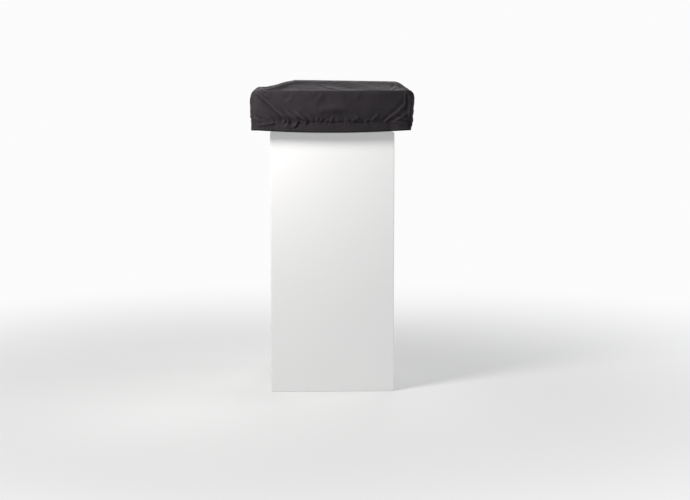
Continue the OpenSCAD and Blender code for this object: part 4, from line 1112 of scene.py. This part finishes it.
def rounded_slab(low, high, corner):
    """A slab with round corners in plan, as points and faces."""
    half_x, half_y = (high[0] - low[0]) / 2, (high[1] - low[1]) / 2
    centre = ((low[0] + high[0]) / 2, (low[1] + high[1]) / 2)
    ring = []
    for k, (sx, sy) in enumerate(((1, -1), (1, 1), (-1, 1), (-1, -1))):
        for turn in np.radians(np.linspace(-90 + 90 * k, 90 * k, CORNER_POINTS)):
            ring.append((centre[0] + sx * (half_x - corner) + corner * math.cos(turn),
                         centre[1] + sy * (half_y - corner) + corner * math.sin(turn)))
    count = len(ring)
    points = [(x, y, low[2]) for x, y in ring] + [(x, y, high[2]) for x, y in ring]
    faces = [(i, (i + 1) % count, count + (i + 1) % count, count + i) for i in range(count)]
    faces += [tuple(range(count - 1, -1, -1)), tuple(range(count, 2 * count))]
    return ring, points, faces


def swollen(mesh, voxel, swell):
    """The slab filled out: remeshed, blown up a little as cloth, and held to the most it may move."""
    pad = show("mattress.start", mesh)
    grain = pad.modifiers.new("grain", "REMESH")
    grain.mode = "VOXEL"
    grain.voxel_size = voxel
    pad = show("mattress.fill", plain_copy(pad, "mattress.fill"))
    before = np.zeros(len(pad.data.vertices) * 3)
    after = before.copy()
    pad.data.vertices.foreach_get("co", before)
    scene = bpy.context.scene
    cloth = pad.modifiers.new("fill", "CLOTH")
    cloth.settings.use_pressure = True
    cloth.settings.uniform_pressure_force = PRESSURE
    cloth.settings.effector_weights.gravity = 0.0
    for step in range(FILL_STEPS):
        scene.frame_set(step + 1)
    filled = plain_copy(pad, "mattress.filled")
    scene.frame_set(1)
    filled.vertices.foreach_get("co", after)
    moved = (after - before).reshape(-1, 3)
    far = np.linalg.norm(moved, axis=1)
    moved *= np.minimum(1.0, swell / np.maximum(far, TINY))[:, None]
    return filled, before.reshape(-1, 3) + moved


def edge_line(surface, ring, height, low, high):
    """Points round a mattress on its swollen side, at one height."""
    centre = Vector(((low[0] + high[0]) / 2, (low[1] + high[1]) / 2, height))
    line = []
    for p, q in zip(ring, ring[1:] + ring[:1]):
        steps = max(1, int(math.dist(p, q) / PIPING_STEP))
        for k in range(steps):
            place = Vector((p[0] + (q[0] - p[0]) * k / steps, p[1] + (q[1] - p[1]) * k / steps, height))
            way = (place - centre).normalized()
            hit = surface.ray_cast(place + way * RAY_START, -way)[0]
            line.append(tuple(hit if hit is not None else place))
    return np.array(line)


def make_mattresses(s):
    """Two piped mattress halves: one swollen by simulation, and its mirror over the hinge plane."""
    cloth = knit_material("mattress_cloth", s.colour)
    piping = moulded_material("mattress_piping", s.piping, 0.6)
    low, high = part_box("mattress_base")
    middle = HINGE[2]
    start_low = (low.x + s.swell, low.y + s.swell, low.z + START_BELOW)
    start_high = (high.x - s.swell, high.y - s.swell, high.z - START_ABOVE)
    ring, points, faces = rounded_slab(start_low, start_high, s.corner)
    filled, placed = swollen(cloth_mesh("mattress", points, faces), s.voxel, s.swell)
    placed[:, 2] = np.clip(placed[:, 2], low.z + LEAST_BELOW, middle - LEAST_ABOVE)
    filled.vertices.foreach_set("co", placed.ravel())
    filled.polygons.foreach_set("use_smooth", [True] * len(filled.polygons))
    filled.update()
    other = filled.copy()
    flipped = placed.copy()
    flipped[:, 2] = 2 * middle - flipped[:, 2]
    other.vertices.foreach_set("co", flipped.ravel())
    other.flip_normals()
    other.update()
    surface = BVHTree.FromPolygons([Vector(p) for p in placed], [tuple(f.vertices) for f in filled.polygons])
    for name, mesh, body, node in (("mattress_lower", filled, "base", "mattress_base"),
                                   ("mattress_upper", other, "fold", "mattress_fold")):
        pad = show(name, mesh, cloth)
        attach(pad, body)
        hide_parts(node)
        for label, share in PIPING_SHARES:
            height = low.z + share * (high.z - low.z)
            line = edge_line(surface, ring, height, start_low, start_high)
            if body == "fold":
                line[:, 2] = 2 * middle - line[:, 2]
            cord = tube(f"{name}_{label}_piping", line, MATTRESS_PIPING, piping)
            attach(cord, body)


# Straps and zips

STRAP_WIDTH, STRAP_THICKNESS = 0.025, 0.002
# Soft edge of the webbing: its width, and the share of the thickness that is left at the very edge
STRAP_EDGE, STRAP_EDGE_SHARE = 0.0012, 0.4
STRAP_POINTS = 30
# Where a strap is sewn on: distance of its run from its anchor, and the bends on the way there
STRAP_FRONT, ANCHOR_START, ANCHOR_BEND = 0.0072, (0.0012, 0.001), (0.001, 0.0015)
STRAP_TURN = 0.006
# Rows of stitches across a strap, as shares of its height
STRAP_SEAMS = (0.45, 0.62)
SEAM_HALF, SEAM_PROUD, SEAM_PITCH, SEAM_STITCH = 0.009, 0.0011, 0.0045, (0.0034, 0.0009, 0.0007)
SIDES = (("front", -1), ("rear", 1))
# Zip tape: rows and columns of points, thickness, wave of its section and depth of its middle
TAPE_ROWS, TAPE_COLUMNS = 9, 120
TAPE_CLOTH, TAPE_WAVE, TAPE_DEPTH = 0.0008, 0.0004, 0.0012
TOOTH_SIZE = (0.0014, 0.0028, 0.0012)
# Rows of teeth: height off the middle, shift of the upper row, gap at the tape's ends and rise off the tape
TOOTH_LEVEL, TOOTH_SHIFT, TOOTH_MARGIN, TOOTH_RISE = 0.0013, 0.0015, 0.012, 0.001


def webbing_band(name, path, y, material):
    """A flat strap along a path in X and Z, centred on y, with softly rounded edges."""
    along = np.gradient(path, axis=0)
    along /= np.linalg.norm(along, axis=1)[:, None]
    out = np.column_stack([along[:, 1], -along[:, 0]])
    half, thin, flat = STRAP_WIDTH / 2, STRAP_THICKNESS / 2, STRAP_WIDTH / 2 - STRAP_EDGE
    profile = [(-half, -STRAP_EDGE_SHARE), (-flat, -1), (flat, -1), (half, -STRAP_EDGE_SHARE),
               (half, STRAP_EDGE_SHARE), (flat, 1), (-flat, 1), (-half, STRAP_EDGE_SHARE)]
    length = lengths(path)
    points, places = [], []
    for i in range(len(path)):
        for across, level in profile:
            x, z = path[i] + out[i] * level * thin
            points.append((x, y + across, z))
            places.append((across, length[i]))
    faces = bar_faces(len(path), len(profile))
    mesh = cloth_mesh(name, points, faces, [places[v] for face in faces for v in face])
    outward(mesh)
    return show(name, mesh, material), float(length[-1])


def soft_path(corners, count):
    """Points along a line of corners, with the corners eased."""
    corners = np.asarray(corners, float)
    length = lengths(corners)
    at = np.linspace(0, length[-1], count)
    line = np.column_stack([np.interp(at, length, corners[:, k]) for k in range(2)])
    for _ in range(2):
        line[1:-1] = 0.25 * line[:-2] + 0.5 * line[1:-1] + 0.25 * line[2:]
    return line


def make_straps(s):
    """Four closing straps, each sewn round its anchor and run to its half of the buckle."""
    material = cloth_material("strap_webbing", s.webbing, thread=0.0018, relief=0.0005, rough=0.62,
                              spread=(0.85, 1.15))
    thread = moulded_material("strap_thread", (0.09, 0.09, 0.092), 0.6)
    tree = row_tree("Stitches across a strap", True)
    for node, body in (("strap_lower", "base"), ("strap_upper", "fold")):
        low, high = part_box(node)
        front = low.x + STRAP_FRONT
        sewn, free, way = (low.z, high.z, 1) if body == "base" else (high.z, low.z, -1)
        path = soft_path([(low.x + ANCHOR_START[0], sewn + way * ANCHOR_START[1]),
                          (front - ANCHOR_BEND[0], sewn + way * ANCHOR_BEND[1]),
                          (front, sewn + way * STRAP_TURN), (front, free)], STRAP_POINTS)
        for side, sign in SIDES:
            y = sign * (high.y - STRAP_WIDTH / 2)
            band, length = webbing_band(f"{node}_{side}", path, y, material)
            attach(band, body)
            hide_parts(node)
            x, near, far = front + SEAM_PROUD, y - SEAM_HALF, y + SEAM_HALF
            levels = [low.z + (high.z - low.z) * share for share in STRAP_SEAMS]
            rows = [straight((x, near, z), (x, far, z), (1, 0, 0)) for z in levels]
            seam = laid_row(f"{node}_{side}_stitches", tree, rows, SEAM_PITCH, SEAM_STITCH, thread)
            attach(seam, body)


def make_zips(s):
    """Zip tapes along the front and rear of the base, with two rows of teeth on each."""
    tape = cloth_material("zip_tape_cloth", s.tape, thread=0.0012, relief=0.0003, rough=0.7)
    teeth_metal = metal_material("zip_teeth_metal", (0.22, 0.22, 0.225), 0.35, (300.0, 300.0, 300.0))
    tree = row_tree("Teeth along a zip", False)
    middle = (TAPE_LOW.z + TAPE_HIGH.z) / 2
    half = (TAPE_HIGH.z - TAPE_LOW.z) / 2
    along = np.linspace(TAPE_LOW.x, TAPE_HIGH.x, TAPE_COLUMNS)
    rows = []
    for side, sign in SIDES:
        y = sign * (TAPE_HIGH.y - TAPE_DEPTH)
        points = []
        for across in np.linspace(-half, half, TAPE_ROWS):
            bulge = sign * TAPE_WAVE * math.cos(math.pi * across / half)
            points += [(x, y + bulge, middle + across) for x in along]
        faces = grid_faces(TAPE_ROWS, TAPE_COLUMNS, False)
        if sign > 0:
            faces = [face[::-1] for face in faces]
        uvs = [(points[v][0], points[v][2]) for face in faces for v in face]
        piece = show(f"zip_tape_{side}", cloth_mesh(f"zip_tape_{side}", points, faces, uvs), tape)
        thicken(piece, TAPE_CLOTH, 0.0)
        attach(piece, "base")
        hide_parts("zip_tapes")
        for level, shift in ((-TOOTH_LEVEL, 0.0), (TOOTH_LEVEL, TOOTH_SHIFT)):
            out, up = y + sign * TOOTH_RISE, middle + level
            start, end = TAPE_LOW.x + TOOTH_MARGIN + shift, TAPE_HIGH.x - TOOTH_MARGIN
            rows.append(straight((start, out, up), (end, out, up), (0, sign, 0)))
    teeth = laid_row("zip_teeth", tree, rows, s.tooth_pitch, TOOTH_SIZE, teeth_metal)
    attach(teeth, "base")


# Rivets and ribs

# Rivets: distance from the frame's edge, height of a head, rise off the flange, gap at the hinge side's ends
RIVET_INSET, RIVET_HEIGHT, RIVET_RISE, RIVET_GAP = 0.013, 0.0026, 0.0003, 0.11
# Ribs: size, sink into the tread, half the tread's height, and place of the last stage's tread
RIB_SIZE, RIB_SINK, TREAD_HALF, LAST_TREAD = (0.0026, 0.30, 0.0022), 0.0003, 0.009, 0.42


def make_rivets(s):
    """Rows of rivets in the flanges of the edge frames."""
    tree = row_tree("Rivets along a flange", True)
    size = (s.rivet, s.rivet, RIVET_HEIGHT)
    x, y = ROOF_HIGH.x - RIVET_INSET, ROOF_HIGH.y - RIVET_INSET
    top, under = ROOF_HIGH.z + RIVET_RISE, FLOOR_LOW.z - RIVET_RISE
    upper = [straight((-x, sign * y, top), (x, sign * y, top), (0, 0, 1)) for _, sign in SIDES]
    upper.append(straight((-x, -y + RIVET_GAP, top), (-x, y - RIVET_GAP, top), (0, 0, 1)))
    lower = [straight((sign * x, -y, under), (sign * x, y, under), (0, 0, -1)) for sign in (-1, 1)]
    for name, paths, body in (("fold_rivets", upper, "fold"), ("base_rivets", lower, "base")):
        row = laid_row(name, tree, paths, s.rivet_pitch, size, FINISHES["steel"])
        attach(row, body)


def make_treads(s):
    """Ribs across the tread of each ladder rung."""
    tree = row_tree("Ribs across a tread", False)
    for stage in range(1, LADDER_STAGES + 1):
        low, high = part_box(f"ladder_stage_{stage}")
        face = (high.x if stage < LADDER_STAGES else LAST_TREAD) - RIB_SINK
        middle = (low.z + high.z) / 2
        path = straight((face, 0.0, middle - TREAD_HALF), (face, 0.0, middle + TREAD_HALF), (1, 0, 0))
        ribs = laid_row(f"ladder_{stage}_ribs", tree, [path], s.rib_pitch, RIB_SIZE, FINISHES["ladder_metal"])
        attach(ribs, f"ladder_{stage}")


# Finishes of the frame's own pieces

FINISHES = {}


def make_finishes():
    """Materials for the hard pieces of the frame."""
    black, bright = (0.02, 0.02, 0.021), (0.60, 0.61, 0.62)
    looks = (
        (metal_material, "frame_metal", (0.105, 0.107, 0.112), 0.42, EVEN, 0.6, 0.0001),
        (moulded_material, "panel_board", bright, 0.5, 0.0003, (0.93, 1.05)),
        (metal_material, "rail_metal", (0.52, 0.53, 0.54), 0.36, DRAWN_Y),
        (moulded_material, "cap_plastic", (0.022, 0.022, 0.023), 0.48),
        (metal_material, "steel", (0.58, 0.58, 0.57), 0.3, EVEN),
        (metal_material, "hinge_metal", (0.36, 0.365, 0.37), 0.38, DRAWN_X),
        (metal_material, "zip_metal", (0.16, 0.16, 0.165), 0.36, EVEN),
        (moulded_material, "buckle_plastic", black, 0.4),
        (metal_material, "hoop_metal", (0.56, 0.57, 0.58), 0.33, DRAWN_X),
        (metal_material, "ladder_metal", bright, 0.34, DRAWN_X),
        (ladder_material, "ladder_stage", bright, black),
        (moulded_material, "rubber", (0.018, 0.018, 0.018), 0.75, 0.0003),
        (moulded_material, "button_plastic", (0.42, 0.035, 0.03), 0.42),
        (metal_material, "clamp_metal", (0.14, 0.142, 0.147), 0.45, DRAWN_Y, 0.7),
    )
    for kind, name, *values in looks:
        FINISHES[name] = kind(name, *values)
    # How the names of the frame's nodes start, the longer starts first
    finish_of = (
        ("base_frame", "frame_metal"), ("fold_frame", "frame_metal"), ("base_panel", "panel_board"),
        ("fold_panel", "panel_board"), ("rail_end_caps", "cap_plastic"), ("rail_bolts", "steel"),
        ("rail_", "rail_metal"), ("cover_track", "rail_metal"), ("base_hinge", "hinge_metal"),
        ("fold_hinge", "hinge_metal"), ("hinge_pins", "steel"), ("buckle_", "buckle_plastic"),
        ("hoop_", "hoop_metal"), ("ladder_stage", "ladder_stage"), ("ladder_brackets", "frame_metal"),
        ("ladder_pin", "steel"), ("ladder_rests", "rubber"), ("ladder_feet", "rubber"),
        ("ladder_button", "button_plastic"), ("zip_slider", "zip_metal"), ("clamp_bolts", "steel"),
        ("clamp_nuts", "steel"), ("clamp_plate", "clamp_metal"), ("clamp_pad", "rubber"),
    )
    for name, node in frame["nodes"].items():
        finish = next((f for start, f in finish_of if name.startswith(start)), None)
        if finish is not None:
            node.data.materials.clear()
            node.data.materials.append(FINISHES[finish])


# Stage

# Floor and plinth: half their widths, the floor's depth, the plinth's gap under the clamps, and soft edges
FLOOR_HALF, FLOOR_DEPTH = 40, 0.05
PLINTH_X, PLINTH_Y, PLINTH_GAP = 0.42, 0.52, 0.0004
FLOOR_BEVEL, PLINTH_BEVEL = 0.005, 0.006
# Distances over which the floor fades into the backdrop, and how far it is faded under the object
FADE_START, FADE_END, LEAST_FADE = 0.8, 5.0, 0.35
SKY_COLOUR, SKY_STRENGTH = (0.97, 0.985, 1.0, 1.0), 0.15
# Lamps: name, place, target, size, watts and colour
LAMPS = (
    ("key", (-1.5, -1.9, 1.25), (0, 0, 0.15), 0.95, 100, (1.0, 0.985, 0.97)),
    ("fill", (5.2, 0.7, 1.3), (0, 0, 0.2), 3.0, 80, (0.97, 0.985, 1.0)),
    ("back", (0.6, 5.4, 1.3), (0, 0, 0.2), 2.6, 110, (1.0, 1.0, 1.0)),
)
SENSOR_WIDTH, VIEW_END = 36.0, 200.0


def seen_ray(tree):
    """1 for rays that show the backdrop: those of the camera, of gloss and of what lets light through."""
    ray = add_node(tree, "ShaderNodeLightPath")
    shown = math_node(tree, "ADD", ray.outputs["Is Camera Ray"], ray.outputs["Is Glossy Ray"])
    return math_node(tree, "MINIMUM", math_node(tree, "ADD", shown, ray.outputs["Is Transmission Ray"]), 1.0)


def pale_colour(s):
    """Colour of the backdrop."""
    return (s.backdrop, s.backdrop, s.backdrop, 1.0)


def pale_material(s):
    """Floor that takes the object's shadow and fades into the backdrop with distance."""
    dull = {"Roughness": 0.9, "Specular IOR Level": 0.1}
    material, tree, shader = new_material("pale_floor", s.floor, dull)
    flat = made_by(tree, "ShaderNodeVectorMath", {0: own_place(tree), 1: (1.0, 1.0, 0.0)},
                   operation="MULTIPLY")
    away = add_node(tree, "ShaderNodeVectorMath", {0: flat}, operation="LENGTH").outputs["Value"]
    fade = {"Value": away, "From Min": FADE_START, "From Max": FADE_END, "To Min": LEAST_FADE}
    far = made_by(tree, "ShaderNodeMapRange", fade, interpolation_type="SMOOTHSTEP")
    glow = made_by(tree, "ShaderNodeEmission", {"Color": pale_colour(s), "Strength": 1.0})
    shown = math_node(tree, "MULTIPLY", far, seen_ray(tree))
    both = made_by(tree, "ShaderNodeMixShader", {0: shown, 1: shader.outputs[0], 2: glow})
    tree.links.new(both, tree.nodes["Material Output"].inputs["Surface"])
    return material


def stage_block(name, low, high, bevel, material):
    """A plain block of the stage with softened edges."""
    work = bmesh.new()
    bmesh.ops.create_cube(work, size=1.0)
    for vert in work.verts:
        vert.co = [low[k] + (vert.co[k] + 0.5) * (high[k] - low[k]) for k in range(3)]
    bmesh.ops.bevel(work, geom=work.edges, offset=bevel, segments=3, affect="EDGES", profile=0.5)
    mesh = bpy.data.meshes.new(name)
    work.to_mesh(mesh)
    work.free()
    show(name, mesh, material)


def area_light(name, place, target, size, watts, colour):
    """A round soft lamp that faces its target."""
    lamp = bpy.data.lights.new(name, "AREA")
    lamp.shape = "DISK"
    lamp.size = size
    lamp.energy = watts
    lamp.color = colour
    holder = bpy.data.objects.new(name, lamp)
    bpy.context.scene.collection.objects.link(holder)
    holder.location = place
    holder.rotation_euler = (Vector(target) - Vector(place)).to_track_quat("-Z", "Y").to_euler()


def make_stage(s):
    """Floor, plinth, backdrop, soft light and camera."""
    scene = bpy.context.scene
    scene.view_settings.view_transform = "Standard"
    pale = pale_material(s)
    stage_block("stage_floor", (-FLOOR_HALF, -FLOOR_HALF, -s.drop - FLOOR_DEPTH),
                (FLOOR_HALF, FLOOR_HALF, -s.drop), FLOOR_BEVEL, pale)
    stage_block("stage_plinth", (-PLINTH_X, -PLINTH_Y, -s.drop), (PLINTH_X, PLINTH_Y, -PLINTH_GAP),
                PLINTH_BEVEL, pale)
    world = bpy.data.worlds.new("pale studio")
    scene.world = world
    world.use_nodes = True
    tree = world.node_tree
    light = tree.nodes["Background"]
    light.inputs["Color"].default_value = SKY_COLOUR
    light.inputs["Strength"].default_value = SKY_STRENGTH
    seen = made_by(tree, "ShaderNodeBackground", {"Color": pale_colour(s), "Strength": 1.0})
    mixed = made_by(tree, "ShaderNodeMixShader", {0: seen_ray(tree), 1: light.outputs[0], 2: seen})
    tree.links.new(mixed, tree.nodes["World Output"].inputs["Surface"])
    for lamp in LAMPS:
        area_light(*lamp)
    lens = bpy.data.cameras.new("camera")
    lens.lens = s.focal
    lens.sensor_width = SENSOR_WIDTH
    lens.clip_end = VIEW_END
    camera = bpy.data.objects.new("camera", lens)
    scene.collection.objects.link(camera)
    camera.location = (s.aside, -COVER_HALF_Y - s.distance, s.height)
    camera.rotation_euler = (math.pi / 2 - s.pitch, 0.0, -s.turn)
    scene.camera = camera


# Operators and panel

class TENT_OT_finishes(bpy.types.Operator):
    """Give the hard pieces of the frame their materials"""
    bl_idname = "tent.finishes"
    bl_label = "Frame finishes"

    def execute(self, context):
        EFFECTS.update(weave=weave_effect(), mottle=mottle_effect(), brushed=brushed_effect())
        make_finishes()
        return {"FINISHED"}


class TENT_OT_cover(bpy.types.Operator):
    """Make the travel cover with its hem, piping, stitches and bead"""
    bl_idname = "tent.cover"
    bl_label = "Travel cover"

    def execute(self, context):
        make_cover(context.scene.tent_cover)
        return {"FINISHED"}


class TENT_OT_canopy(bpy.types.Operator):
    """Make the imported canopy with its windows, door and edging"""
    bl_idname = "tent.canopy"
    bl_label = "Canopy"

    def execute(self, context):
        make_canopy(context.scene.tent_canopy)
        return {"FINISHED"}


class TENT_OT_mattresses(bpy.types.Operator):
    """Make the two mattress halves"""
    bl_idname = "tent.mattresses"
    bl_label = "Mattresses"

    def execute(self, context):
        make_mattresses(context.scene.tent_mattress)
        return {"FINISHED"}


class TENT_OT_straps(bpy.types.Operator):
    """Make the four closing straps"""
    bl_idname = "tent.straps"
    bl_label = "Closing straps"

    def execute(self, context):
        make_straps(context.scene.tent_trim)
        return {"FINISHED"}


class TENT_OT_zips(bpy.types.Operator):
    """Make the zip tapes and their teeth"""
    bl_idname = "tent.zips"
    bl_label = "Zips"

    def execute(self, context):
        make_zips(context.scene.tent_trim)
        return {"FINISHED"}


class TENT_OT_rivets(bpy.types.Operator):
    """Set the rivets of the edge frames and the ribs of the ladder"""
    bl_idname = "tent.rivets"
    bl_label = "Rivets and treads"

    def execute(self, context):
        make_rivets(context.scene.tent_trim)
        make_treads(context.scene.tent_trim)
        return {"FINISHED"}


class TENT_OT_stage(bpy.types.Operator):
    """Set up the floor, the light and the camera"""
    bl_idname = "tent.stage"
    bl_label = "Stage"

    def execute(self, context):
        make_stage(context.scene.tent_stage)
        return {"FINISHED"}


OPERATORS = (TENT_OT_finishes, TENT_OT_cover, TENT_OT_canopy, TENT_OT_mattresses, TENT_OT_straps,
             TENT_OT_zips, TENT_OT_rivets, TENT_OT_stage)
SETTINGS = {"tent_cover": CoverSettings, "tent_canopy": CanopySettings, "tent_mattress": MattressSettings,
            "tent_trim": TrimSettings, "tent_stage": StageSettings}


class TENT_PT_panel(bpy.types.Panel):
    """Pieces of the roof top tent and their settings"""
    bl_idname = "TENT_PT_panel"
    bl_label = "Roof top tent"
    bl_space_type = "VIEW_3D"
    bl_region_type = "UI"
    bl_category = "Roof tent"

    def draw(self, context):
        for operator in OPERATORS:
            self.layout.operator(operator.bl_idname)
        for name in SETTINGS:
            group = getattr(context.scene, name)
            box = self.layout.box()
            box.label(text=group.bl_rna.description)
            for key in group.bl_rna.properties.keys():
                if key not in {"rna_type", "name"}:
                    box.prop(group, key)


def register():
    for kind in (*SETTINGS.values(), *OPERATORS, TENT_PT_panel):
        bpy.utils.register_class(kind)
    for name, kind in SETTINGS.items():
        setattr(bpy.types.Scene, name, bpy.props.PointerProperty(type=kind))


def unregister():
    for name in SETTINGS:
        delattr(bpy.types.Scene, name)
    for kind in reversed((*SETTINGS.values(), *OPERATORS, TENT_PT_panel)):
        bpy.utils.unregister_class(kind)


def main():
    register()
    for operator in OPERATORS:
        group, name = operator.bl_idname.split(".")
        getattr(getattr(bpy.ops, group), name)()


if __name__ == "__main__":
    main()
